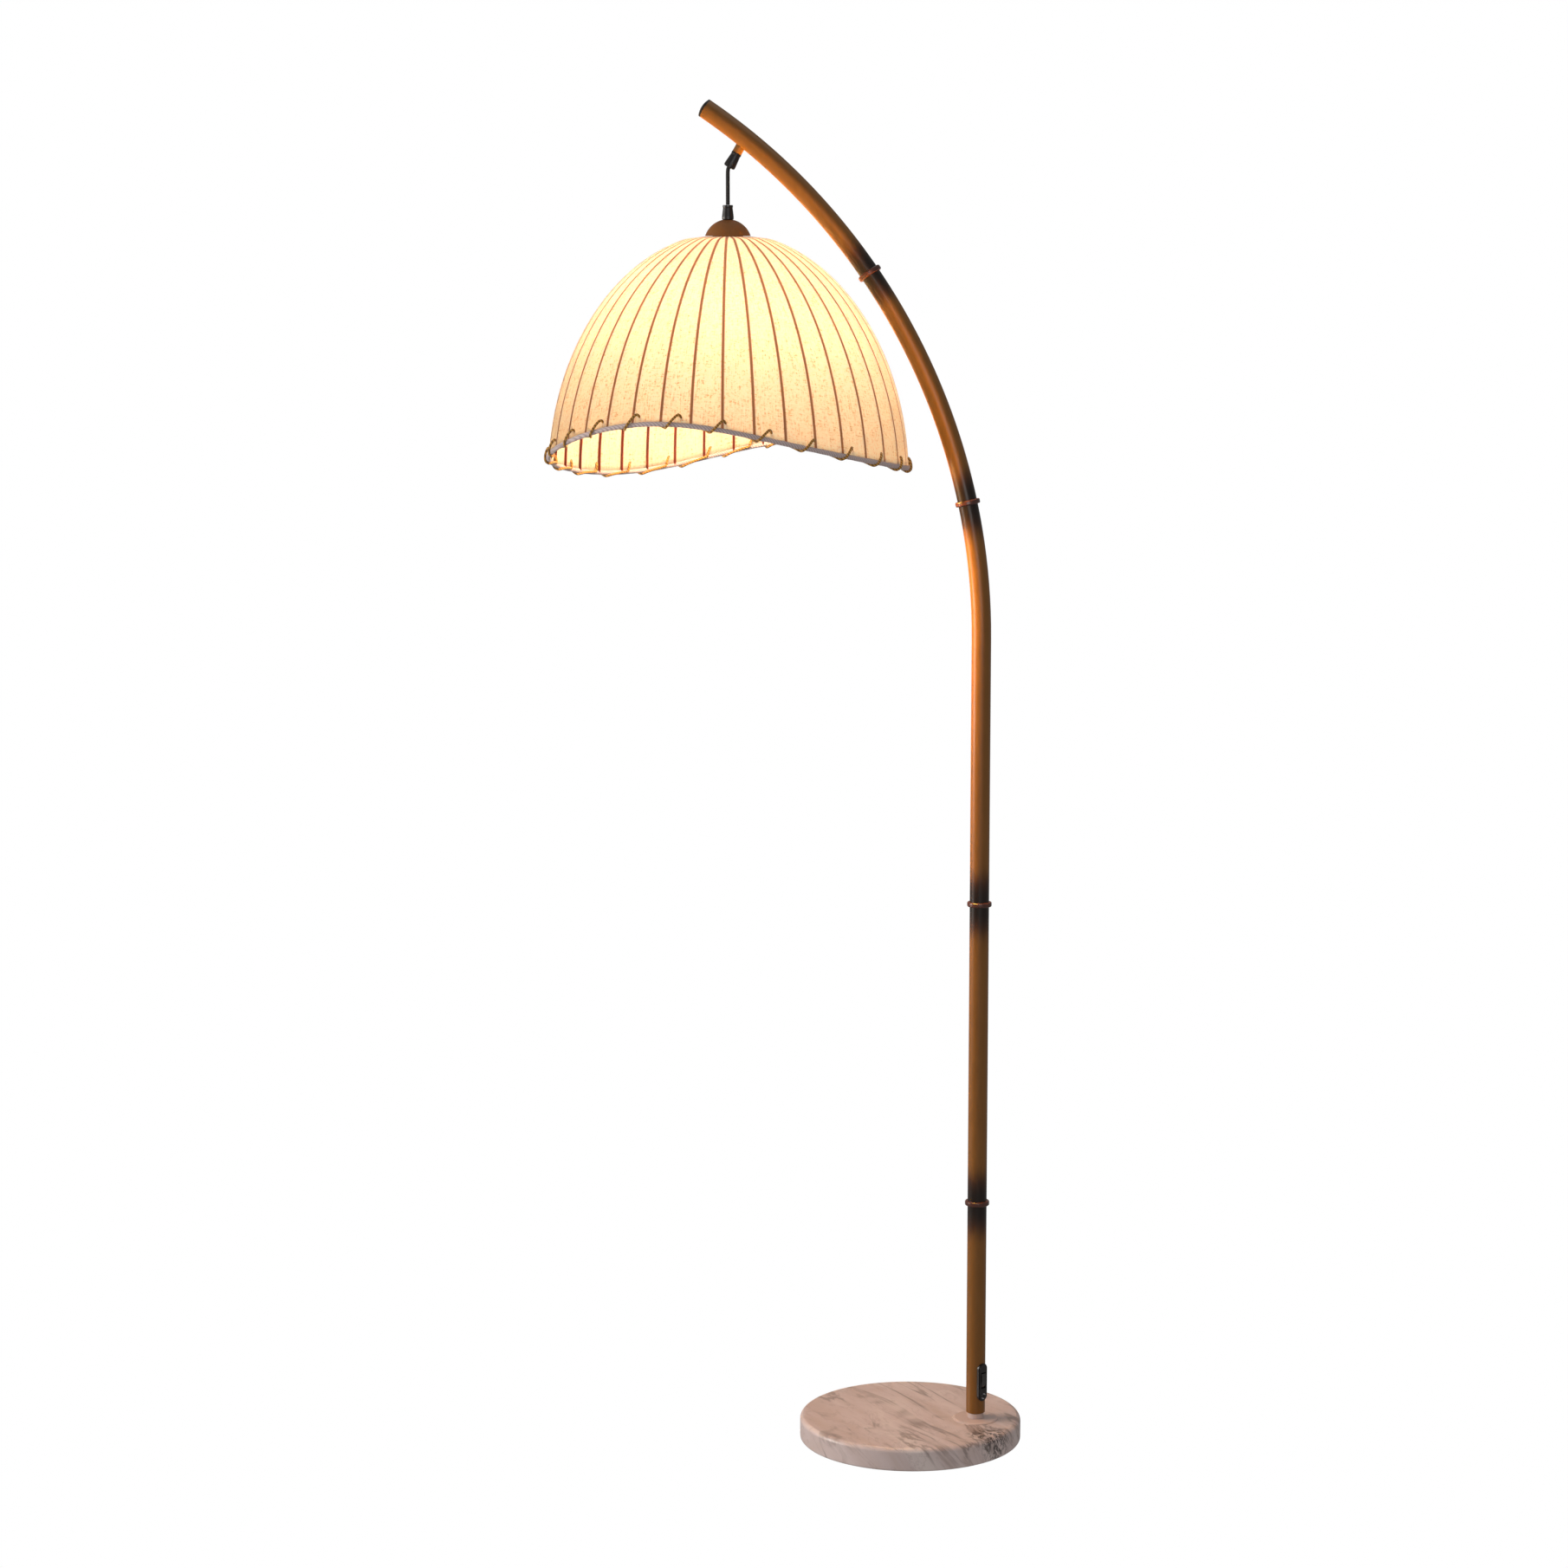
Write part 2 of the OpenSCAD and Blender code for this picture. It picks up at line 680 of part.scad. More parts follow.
module holder_body() {
    wall = 3;
    flange_r = flange_d / 2;
    color(black) at_pendant(0) rotate_extrude() polygon([
        [holder_r - wall, holder_low], [holder_r, holder_low], [holder_r, flange_z], [flange_r, flange_z],
        [flange_r, flange_z + flange_h], [holder_r, flange_z + flange_h], [holder_r, holder_top - 2],
        [holder_r - 1, holder_top], [holder_r - wall, holder_top]]);
}

module holder_insulator() {
    color("white") at_pendant(0) tube(holder_r - 3 - snug, 3, shell_top, 6);
}

module holder_shell() {
    low = holder_low + 3;
    color([0.8, 0.65, 0.3]) at_pendant(0) tube(shell_d / 2, shell_in, low, shell_top - low);
}

module holder_contact() {
    color([0.8, 0.65, 0.3]) at_pendant(shell_top - contact_h) difference() {
        cylinder(r = 4.5, h = contact_h);
        translate([0, 0, -1]) cylinder(r = 1.2, h = contact_h + 2);
    }
}

module shade_ring() {
    r = shade_ring_d / 2;
    color(black) at_pendant(0) rotate_extrude() polygon([
        [holder_r + thread, shade_ring_z], [r - 6, shade_ring_z], [r - 4, shade_ring_z + shade_ring_h - 3],
        [r, shade_ring_z + shade_ring_h - 3], [r, shade_ring_z + shade_ring_h],
        [holder_r + thread, shade_ring_z + shade_ring_h]]);
}

// The bulb's outline: a round globe that narrows smoothly into the neck
globe_r = bulb_d / 2;
globe_z = bulb_low + globe_r;
neck_z = bulb_cap_low + 1;

function neck_outline(inside) = [for (i = [0:8]) let (t = i / 8)
    [globe_r * cos(30) + (bulb_neck_r - 1 - globe_r * cos(30)) * (1 - cos(180 * t)) / 2 - inside,
     globe_z + globe_r * sin(30) + (neck_z - globe_z - globe_r * sin(30)) * t]];

module bulb_glass() {
    wall = 0.8;
    color([1, 0.95, 0.85, 0.5]) at_pendant(0) rotate_extrude() polygon(concat(
        arc(0, globe_z, globe_r, -90, 26, 14), neck_outline(0),
        [[bulb_neck_r - 1, neck_z + 6], [bulb_neck_r - 1 - wall, neck_z + 6]],
        [for (i = [8:-1:0]) neck_outline(wall)[i]],
        arc(0, globe_z, globe_r - wall, 26, -90, 14)));
}

module bulb_cap() {
    color([0.75, 0.75, 0.72]) at_pendant(0) rotate_extrude() polygon([
        [bulb_neck_r - 0.8, bulb_cap_low], [bulb_neck_r, bulb_cap_low], [bulb_neck_r, bulb_tip - 4],
        [6, bulb_tip - 1.6], [5, bulb_tip - 1.6], [5, bulb_tip], [0, bulb_tip], [0, bulb_tip - 5],
        [bulb_neck_r - 0.8, bulb_tip - 5]]);
}

filament_count = 4;

module bulb_filament() {
    color([1, 0.85, 0.4]) at_pendant(0) {
        translate([0, 0, globe_z + 14]) cylinder(r = 3, h = neck_z - globe_z - 12);
        for (i = [0:filament_count - 1])
            rotate([0, 0, 360 / filament_count * i]) translate([6.5, 0, globe_z - 16])
                cylinder(r = 1, h = 34.5);
        translate([0, 0, globe_z + 18]) cylinder(r = 9, h = 1);
    }
}

spoke_count = 3;

module shade_fitter() {
    z = flange_z - free - fitter_h;
    out = shade_ring_d / 2 - 2;
    spoke_d = 3;
    reach = top_ring_r - ring_wire_d / 2 - out + 1.6;
    rise = top_ring_z - z - fitter_h / 2;
    color([0.35, 0.12, 0.06]) at_pendant(0) union() {
        tube(out, holder_r + free, z, fitter_h);
        for (i = [0:spoke_count - 1])
            rotate([0, 0, 360 / spoke_count * i]) translate([out - 1.6, 0, z + fitter_h / 2])
                rotate([0, atan2(reach, rise), 0])
                    cylinder(d = spoke_d, h = sqrt(reach * reach + rise * rise));
    }
}

module shade_top_ring() {
    color([0.35, 0.12, 0.06]) at_pendant(top_ring_z) rotate_extrude() translate([top_ring_r, 0])
        circle(d = ring_wire_d);
}

rib_steps = 16;

// One long side of a rib, from the rim's wire up the dome and across the neck
function rib_side(low, inside) = concat(
    [for (i = [0:rib_steps]) dome_point(low + (neck_angle - low) * i / rib_steps, inside)],
    [[top_ring_r, neck_z(top_ring_r) - inside]]);

// A rib is a flat strip behind the cloth, from the upper ring down to the rim's wire
module rib(a) {
    under = cloth_t + snug;
    low = level(rim_z(a) + ring_wire_d / 4);
    inner = rib_side(low, under + rib_w);
    n = len(inner);
    color([0.35, 0.12, 0.06]) at_pendant(0) rotate([0, 0, a]) rotate([90, 0, 0])
        translate([0, 0, -rib_w / 2]) linear_extrude(rib_w)
        polygon(concat(rib_side(low, under), [for (i = [1:n]) inner[n - i]]));
}

module shade_ribs() {
    for (i = [0:rib_count - 1]) rib(rib_start + 360 / rib_count * i);
}

rim_steps = 72;
wire_sides = 6;

module shade_bottom_ring() {
    r = ring_wire_d / 2;
    color([0.35, 0.12, 0.06]) closed_sweep([for (i = [0:rim_steps - 1]) let (a = 360 / rim_steps * i)
        [for (j = [0:wire_sides - 1]) let (b = 360 / wire_sides * j)
            turned([rim_r(a) + r * cos(b), rim_z(a) + r * sin(b)], a)]]);
}

cloth_steps = 12;

// One face of the cloth at azimuth a, from the binding up to the edge under the canopy
function cloth_side(a, inside) = let (low = level(rim_z(a) + ring_wire_d / 2 + 0.2)) concat(
    [for (k = [0:cloth_steps]) turned(dome_point(low + (neck_angle - low) * k / cloth_steps, inside), a)],
    [turned([cloth_top_r, cloth_top - inside], a)]);

module shade_fabric() {
    color([1, 0.9, 0.72]) closed_sweep([for (i = [0:rim_steps - 1])
        let (a = 360 / rim_steps * i, inner = cloth_side(a, cloth_t), n = len(inner))
        concat(cloth_side(a, 0), [for (k = [1:n]) inner[n - k]])]);
}

// The binding is a tape folded round the wire, open at the top where the cloth goes in
binding_steps = 7;

module rim_binding() {
    out = binding_d / 2;
    in = ring_wire_d / 2 + 2 * snug;
    gap = 25;
    color([0.62, 0.56, 0.60]) closed_sweep([for (i = [0:rim_steps - 1]) let (a = 360 / rim_steps * i)
        concat(
            [for (k = [0:binding_steps]) let (b = 90 + gap + (360 - 2 * gap) * k / binding_steps)
                turned([rim_r(a) + out * cos(b), rim_z(a) + out * sin(b)], a)],
            [for (k = [binding_steps:-1:0]) let (b = 90 + gap + (360 - 2 * gap) * k / binding_steps)
                turned([rim_r(a) + in * cos(b), rim_z(a) + in * sin(b)], a)])]);
}

// The lacing is one endless cord. Each stitch climbs outside the hem, goes through the cloth, comes down
// inside, runs on behind the hem and drops below it to the next. Points of one stitch: [degrees along
// the rim, outwards, upwards] from the middle of the rim's wire.
lace_gap = binding_d / 2 + lace_d / 2 + 0.15;
lace_rise = 12;
stitch_path = [
    [-4.5, 0, -lace_gap], [-3.7, lace_gap * 0.8, -lace_gap * 0.6], [-2.7, lace_gap, lace_gap * 0.3],
    [-1.3, lace_gap * 0.75, lace_rise * 0.65], [0, 0, lace_rise], [0.8, -lace_gap * 0.75, lace_rise * 0.65],
    [1.5, -lace_gap, lace_gap * 0.3], [2.5, -lace_gap * 0.99, lace_gap * 0.14],
    [4, -lace_gap, 0], [6, -lace_gap * 0.98, -lace_gap * 0.2], [8.2, -lace_gap * 0.85, -lace_gap * 0.53]];
lace_sides = 6;

function lace_point(i) = let (
    n = len(stitch_path), p = stitch_path[i % n],
    a = stitch_start + 360 / stitch_count * floor(i / n) + p[0] * 25 / stitch_count)
    turned([rim_r(a) + p[1], rim_z(a) + p[2]], a);
function lace_away(i) = let (
    n = len(stitch_path), p = stitch_path[i % n],
    a = stitch_start + 360 / stitch_count * floor(i / n) + p[0] * 25 / stitch_count)
    [p[1] * cos(a), p[1] * sin(a), p[2]];
function unit(v) = v / norm(v);

module rim_lacing() {
    n = len(stitch_path) * stitch_count;
    color([0.50, 0.30, 0.08]) closed_sweep([for (i = [0:n - 1])
        let (along = unit(lace_point(i + 1) - lace_point(i + n - 1)),
            side = unit(cross(along, lace_away(i))), up = cross(side, along))
        [for (j = [0:lace_sides - 1]) let (b = 360 / lace_sides * j)
            lace_point(i) + lace_d / 2 * (cos(b) * up - sin(b) * side)]]);
}

marble_base();
base_pad();
cable_grommet();
base_nut();
base_washer();
hollow_stud();
foot_plate();
foot_collar();
foot_insert();
pole_section_1();
pole_section_2();
pole_section_3();
arm_section_1();
arm_section_2();
node_ring_1();
node_ring_2();
node_ring_3();
node_ring_4();
coupler_1();
coupler_2();
coupler_3();
coupler_4();
arm_end_cap();
arm_boss();
arm_grip();
arm_grip_screw();
pole_cable();
arm_cable();
switch_housing();
switch_rocker();
dimmer_ring();
dimmer_button();
switch_module();
pendant_cord();
pendant_grip();
pendant_grip_screw();
holder_lead();
canopy_cap();
lamp_nipple();
lock_nut();
holder_cap();
holder_body();
holder_insulator();
holder_shell();
holder_contact();
shade_ring();
bulb_glass();
bulb_cap();
bulb_filament();
shade_fitter();
shade_top_ring();
shade_ribs();
shade_bottom_ring();
shade_fabric();
rim_binding();
rim_lacing();
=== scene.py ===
"""Looks of an arc floor lamp: a bamboo-style steel pole, a marble base and a lit linen dome shade.

Every size is in metres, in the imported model's own frame: +Z up, with the origin under the middle of the base.
"""

from __future__ import annotations

import logging
import math
from dataclasses import dataclass, field
from enum import Enum
from typing import Callable, Sequence

import bmesh
import bpy
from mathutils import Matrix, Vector, noise

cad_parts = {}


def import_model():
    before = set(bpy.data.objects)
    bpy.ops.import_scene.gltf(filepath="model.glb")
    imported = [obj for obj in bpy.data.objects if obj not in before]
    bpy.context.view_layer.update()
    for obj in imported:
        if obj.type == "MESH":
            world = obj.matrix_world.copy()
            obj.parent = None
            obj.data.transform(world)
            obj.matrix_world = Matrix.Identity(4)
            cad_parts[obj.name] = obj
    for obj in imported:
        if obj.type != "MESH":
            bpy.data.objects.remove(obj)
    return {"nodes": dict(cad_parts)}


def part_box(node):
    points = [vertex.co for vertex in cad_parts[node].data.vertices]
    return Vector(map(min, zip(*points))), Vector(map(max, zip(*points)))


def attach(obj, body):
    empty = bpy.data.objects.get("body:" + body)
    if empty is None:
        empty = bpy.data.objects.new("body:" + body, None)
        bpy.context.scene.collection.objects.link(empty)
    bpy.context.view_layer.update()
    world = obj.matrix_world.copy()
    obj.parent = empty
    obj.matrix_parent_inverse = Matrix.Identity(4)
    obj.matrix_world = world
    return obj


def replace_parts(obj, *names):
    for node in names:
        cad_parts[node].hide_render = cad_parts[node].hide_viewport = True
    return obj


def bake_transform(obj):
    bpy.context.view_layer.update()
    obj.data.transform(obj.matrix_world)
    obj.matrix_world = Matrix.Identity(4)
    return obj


LOG = logging.getLogger("arc_lamp")
BEND_R = 0.772  # radius of the pole's bend
BEND_Z = 1.024  # height where the straight pole ends and the bend starts

Colour = tuple[float, float, float]
Point = tuple[float, float, float]
Socket = bpy.types.NodeSocket
Stops = Sequence[tuple[float, Colour]]


def tint(red: int, green: int, blue: int) -> Colour:
    """Turns a display colour into the linear colour that a shader takes.

    Args:
        red: its red, 0 to 255.
        green: its green, 0 to 255.
        blue: its blue, 0 to 255.

    Returns:
        The linear red, green and blue, each 0 to 1.
    """
    def linear(value: int) -> float:
        """One channel's linear value."""
        share = value / 255
        return share / 12.92 if share <= 0.04045 else ((share + 0.055) / 1.055) ** 2.4

    return linear(red), linear(green), linear(blue)


class Body(Enum):
    """The rigid bodies that the pieces made here ride on."""

    STAND = "stand"
    LINK = "pendant_link"
    SHADE = "shade"


class Graph:
    """A finish's node tree while it is wired up."""

    def __init__(self, name: str) -> None:
        """Starts a material that has only its Principled shader.

        Args:
            name: the material's name.
        """
        self.material = bpy.data.materials.new(name)
        self.material.use_nodes = True
        self.tree = self.material.node_tree
        self.shader = self.tree.nodes["Principled BSDF"]
        self.output = self.tree.nodes["Material Output"]
        coordinates = self.add("ShaderNodeTexCoord")
        self.object = coordinates.outputs["Object"]
        self.uv = coordinates.outputs["UV"]

    def add(self, kind: str, **settings: object) -> bpy.types.Node:
        """Adds a node and sets its properties.

        Args:
            kind: the node's type name.
            settings: properties of the node by name.

        Returns:
            The new node.
        """
        node = self.tree.nodes.new(kind)
        for name, value in settings.items():
            setattr(node, name, value)
        return node

    def feed(self, socket: Socket, value: Socket | float | Colour) -> None:
        """Links a socket to another one, or sets its own value.

        Args:
            socket: the input.
            value: what it takes: a node's output, a number or a colour.
        """
        if isinstance(value, bpy.types.NodeSocket):
            self.tree.links.new(value, socket)
        elif isinstance(value, tuple) and len(socket.default_value) == 4:
            socket.default_value = (*value, 1.0)
        else:
            socket.default_value = value

    def math(self, operation: str, *values: Socket | float, clamp: bool = False) -> Socket:
        """Adds a Math node.

        Args:
            operation: the node's operation.
            values: its inputs in order.
            clamp: keeps the result between 0 and 1.

        Returns:
            The node's result.
        """
        node = self.add("ShaderNodeMath", operation=operation, use_clamp=clamp)
        for socket, value in zip(node.inputs, values):
            self.feed(socket, value)
        return node.outputs[0]

    def times(self, first: Socket | float, second: Socket | float) -> Socket:
        """Multiplies two numbers."""
        return self.math("MULTIPLY", first, second)

    def plus(self, first: Socket | float, second: Socket | float) -> Socket:
        """Adds two numbers."""
        return self.math("ADD", first, second)

    def minus(self, first: Socket | float, second: Socket | float) -> Socket:
        """Takes the second number from the first."""
        return self.math("SUBTRACT", first, second)

    def axes(self, vector: Socket) -> tuple[Socket, Socket, Socket]:
        """Splits a vector.

        Args:
            vector: the vector.

        Returns:
            Its X, Y and Z.
        """
        node = self.add("ShaderNodeSeparateXYZ")
        self.feed(node.inputs[0], vector)
        return node.outputs[0], node.outputs[1], node.outputs[2]

    def vector(self, x: Socket | float, y: Socket | float, z: Socket | float) -> Socket:
        """Joins three numbers into a vector.

        Args:
            x: its X.
            y: its Y.
            z: its Z.

        Returns:
            The vector.
        """
        node = self.add("ShaderNodeCombineXYZ")
        for socket, value in zip(node.inputs, (x, y, z)):
            self.feed(socket, value)
        return node.outputs[0]

    def stretch(self, vector: Socket, scale: Point, move: Point = (0.0, 0.0, 0.0)) -> Socket:
        """Scales and shifts a vector with a Mapping node.

        Args:
            vector: the vector.
            scale: a factor for each axis.
            move: a shift along each axis.

        Returns:
            The new vector.
        """
        node = self.add("ShaderNodeMapping")
        self.feed(node.inputs["Vector"], vector)
        node.inputs["Scale"].default_value = scale
        node.inputs["Location"].default_value = move
        return node.outputs[0]

    def cloud(self, vector: Socket, scale: float, detail: float = 3.0, rough: float = 0.55,
              twist: float = 0.0) -> Socket:
        """Adds noise.

        Args:
            vector: where the noise is read.
            scale: cells to a unit.
            detail: octaves of finer noise.
            rough: strength of the finer octaves.
            twist: distortion of the pattern.

        Returns:
            The noise, about 0.5 on average.
        """
        node = self.add("ShaderNodeTexNoise")
        self.feed(node.inputs["Vector"], vector)
        settings = {"Scale": scale, "Detail": detail, "Roughness": rough, "Distortion": twist}
        for name, value in settings.items():
            node.inputs[name].default_value = value
        return node.outputs[0]

    def ease(self, value: Socket, low: float, high: float, at_low: float = 0.0,
             at_high: float = 1.0) -> Socket:
        """Maps a range smoothly onto another and stops at its ends.

        Args:
            value: the number to map.
            low: start of its range.
            high: end of its range.
            at_low: the result at the start.
            at_high: the result at the end.

        Returns:
            The mapped number.
        """
        node = self.add("ShaderNodeMapRange", interpolation_type="SMOOTHSTEP")
        for socket, number in zip(node.inputs, (value, low, high, at_low, at_high)):
            self.feed(socket, number)
        return node.outputs[0]

    def ramp(self, value: Socket, stops: Stops) -> Socket:
        """Colours a number.

        Args:
            value: the number.
            stops: positions, each with its colour.

        Returns:
            The colour.
        """
        node = self.add("ShaderNodeValToRGB")
        self.feed(node.inputs[0], value)
        marks = node.color_ramp.elements
        while len(marks) < len(stops):
            marks.new(1.0)
        for mark, (place, colour) in zip(marks, stops):
            mark.position = place
            mark.color = (*colour, 1.0)
        return node.outputs[0]

    def blend(self, share: Socket | float, first: Socket | Colour, second: Socket | Colour,
              how: str = "MIX") -> Socket:
        """Mixes two colours.

        Args:
            share: how much of the second one is in the mix.
            first: the first colour.
            second: the second colour.
            how: the node's way of mixing.

        Returns:
            The mixed colour.
        """
        node = self.add("ShaderNodeMix", data_type="RGBA", blend_type=how)
        self.feed(node.inputs[0], share)
        self.feed(node.inputs[6], first)
        self.feed(node.inputs[7], second)
        return node.outputs[2]

    def bump(self, height: Socket, depth: float, strength: float = 1.0) -> None:
        """Raises the surface by a height map.

        Args:
            height: the map, 0 to 1.
            depth: metres between its lowest and highest place.
            strength: share of the effect.
        """
        node = self.add("ShaderNodeBump")
        node.inputs["Strength"].default_value = strength
        node.inputs["Distance"].default_value = depth
        self.feed(node.inputs["Height"], height)
        self.feed(self.shader.inputs["Normal"], node.outputs[0])

    def surface(self, **values: Socket | float | Colour) -> None:
        """Sets the shader's sockets.

        Args:
            values: what each takes, by the socket's name with an underscore for each space.
        """
        for name, value in values.items():
            self.feed(self.shader.inputs[name.replace("_", " ")], value)


@dataclass(frozen=True)
class Finish:
    """A plain finish: one colour that varies a little, with fine grain."""

    name: str
    colour: Colour
    rough: float = 0.5
    metal: float = 0.0
    coat: float = 0.0
    vary: float = 0.18
    grain: float = 900.0
    depth: float = 0.00004

    def build(self) -> bpy.types.Material:
        """Makes the material.

        Returns:
            The finished material.
        """
        graph = Graph(self.name)
        self.paint(graph)
        graph.surface(Metallic=self.metal, Coat_Weight=self.coat)
        return graph.material

    def paint(self, graph: Graph) -> None:
        """Wires the colour, roughness and bump.

        Args:
            graph: the material's nodes.
        """
        patches = graph.cloud(graph.object, 14.0)
        speck = graph.cloud(graph.object, self.grain, detail=2.0)
        darker = tuple(channel * (1 - self.vary) for channel in self.colour)
        lighter = tuple(min(channel * (1 + self.vary), 1.0) for channel in self.colour)
        graph.surface(Base_Color=graph.ramp(patches, ((0.3, darker), (0.7, lighter))))
        graph.surface(Roughness=graph.ease(speck, 0.3, 0.7, self.rough * 0.85, min(self.rough * 1.15, 1.0)))
        graph.bump(speck, self.depth)


@dataclass(frozen=True)
class Marble(Finish):
    """Polished marble: pale clouds drawn out along the bedding, soft slanting veins and one dark cluster."""

    pale: Colour = tint(222, 206, 200)
    dusk: Colour = tint(196, 173, 164)
    vein: Colour = tint(128, 110, 103)
    fine_vein: Colour = tint(134, 112, 102)
    fine_share: float = 0.2
    knot: Colour = tint(40, 33, 30)
    knot_at: Point = (0.112, -0.062, 0.024)
    knot_reach: float = 0.038
    bedding: tuple[Point, Point, Point] = ((0.60, 0.55, 0.58), (-0.68, 0.73, 0.0), (-0.42, -0.39, 0.82))
    draw_out: float = 0.2

    def paint(self, graph: Graph) -> None:
        """Wires the clouds, the veins, the dark cluster and a polished surface.

        Args:
            graph: the material's nodes.
        """
        across, along, down = (self.along(graph, direction) for direction in self.bedding)
        beds = graph.vector(across, graph.times(along, self.draw_out), graph.times(down, self.draw_out))
        clouds = graph.cloud(beds, 34.0, 6.0, 0.6, 0.5)
        base = graph.ramp(clouds, ((0.3, self.pale), (0.5, self.colour), (0.7, self.dusk)))
        veins = self.ridge(graph, graph.cloud(beds, 17.0, 5.0, 0.55, 0.9), 0.03)
        veined_places = graph.ease(graph.cloud(graph.object, 15.0, 2.0), 0.4, 0.6, 0.06, 0.7)
        fine_beds = graph.stretch(beds, (1.0, 1.4, 1.4), (3.1, 0.7, 1.9))
        fine_veins = self.ridge(graph, graph.cloud(fine_beds, 44.0, 5.0, 0.55, 1.0), 0.022)
        off = self.distance(graph, self.knot_at)
        near = graph.ease(off, self.knot_reach * 0.35, self.knot_reach, 1.0, 0.0)
        squeezed = graph.stretch(graph.object, (1.0, 1.6, 1.0))
        dark_veins = self.ridge(graph, graph.cloud(squeezed, 42.0, 6.0, 0.68, 2.2), 0.07)
        veined = graph.blend(graph.times(veins, veined_places), base, self.vein)
        laced = graph.blend(graph.times(fine_veins, self.fine_share), veined, self.fine_vein)
        graph.surface(Base_Color=graph.blend(graph.times(near, dark_veins), laced, self.knot))
        graph.surface(Roughness=graph.ease(graph.cloud(graph.object, 60.0), 0.3, 0.7, 0.3, 0.42))
        graph.bump(graph.cloud(graph.object, 240.0, 3.0), 0.00003)

    @staticmethod
    def along(graph: Graph, direction: Point) -> Socket:
        """Distance of a point along one direction.

        Args:
            graph: the material's nodes.
            direction: the direction.

        Returns:
            The distance.
        """
        node = graph.add("ShaderNodeVectorMath", operation="DOT_PRODUCT")
        graph.feed(node.inputs[0], graph.object)
        node.inputs[1].default_value = direction
        return node.outputs["Value"]

    @staticmethod
    def distance(graph: Graph, place: Point) -> Socket:
        """Distance of a point from a fixed place.

        Args:
            graph: the material's nodes.
            place: the fixed place.

        Returns:
            The distance.
        """
        node = graph.add("ShaderNodeVectorMath", operation="DISTANCE")
        graph.feed(node.inputs[0], graph.object)
        node.inputs[1].default_value = place
        return node.outputs["Value"]

    @staticmethod
    def ridge(graph: Graph, value: Socket, width: float) -> Socket:
        """Turns noise into thin lines where it crosses its middle value.

        Args:
            graph: the material's nodes.
            value: the noise.
            width: how far from the middle value a line fades out.

        Returns:
            The lines, 1 at their middle.
        """
        off = graph.math("ABSOLUTE", graph.minus(value, 0.5))
        return graph.ease(off, 0.0, width, 1.0, 0.0)


@dataclass(frozen=True)
class BambooPaint(Finish):
    """Satin paint that is scorched dark beside each ring, as real bamboo is."""

    bend_x: float = 0.0
    rings: tuple[float, ...] = ()
    black_to: float = 0.004
    fade: float = 0.062
    ragged: float = 0.014
    draw_out: float = 5.0
    scorch: Colour = tint(30, 19, 13)
    toast: Colour = tint(64, 37, 19)

    def paint(self, graph: Graph) -> None:
        """Wires the colour by the distance along the tube to the nearest ring.

        Args:
            graph: the material's nodes.
        """
        x, y, z = graph.axes(graph.object)
        across = graph.minus(x, self.bend_x)
        above = graph.minus(z, BEND_Z)
        angle = graph.math("ARCTAN2", graph.math("MAXIMUM", above, 0.0), across)
        run = graph.plus(graph.times(angle, BEND_R), graph.math("MINIMUM", above, 0.0))
        gap: Socket | float = 1.0
        for ring in self.rings:
            gap = graph.math("MINIMUM", gap, graph.math("ABSOLUTE", graph.minus(run, ring)))
        fibres = graph.vector(graph.times(x, self.draw_out), graph.times(y, self.draw_out), run)
        streaks = graph.cloud(fibres, 32.0, 4.0, 0.6)
        edge = graph.plus(gap, graph.times(graph.minus(streaks, 0.5), self.ragged))
        burnt = graph.ease(edge, self.black_to, self.fade)
        darker = tuple(channel * 0.88 for channel in self.colour)
        wood = graph.ramp(streaks, ((0.3, darker), (0.7, self.colour)))
        middle = graph.blend(graph.ease(burnt, 0.3, 1.0), self.toast, wood)
        graph.surface(Base_Color=graph.blend(graph.ease(burnt, 0.0, 0.5), self.scorch, middle))
        graph.surface(Roughness=graph.ease(streaks, 0.3, 0.7, self.rough * 0.85, self.rough * 1.2),
                      Specular_IOR_Level=0.28, Coat_Roughness=0.1)
        graph.bump(streaks, 0.00006, 0.5)


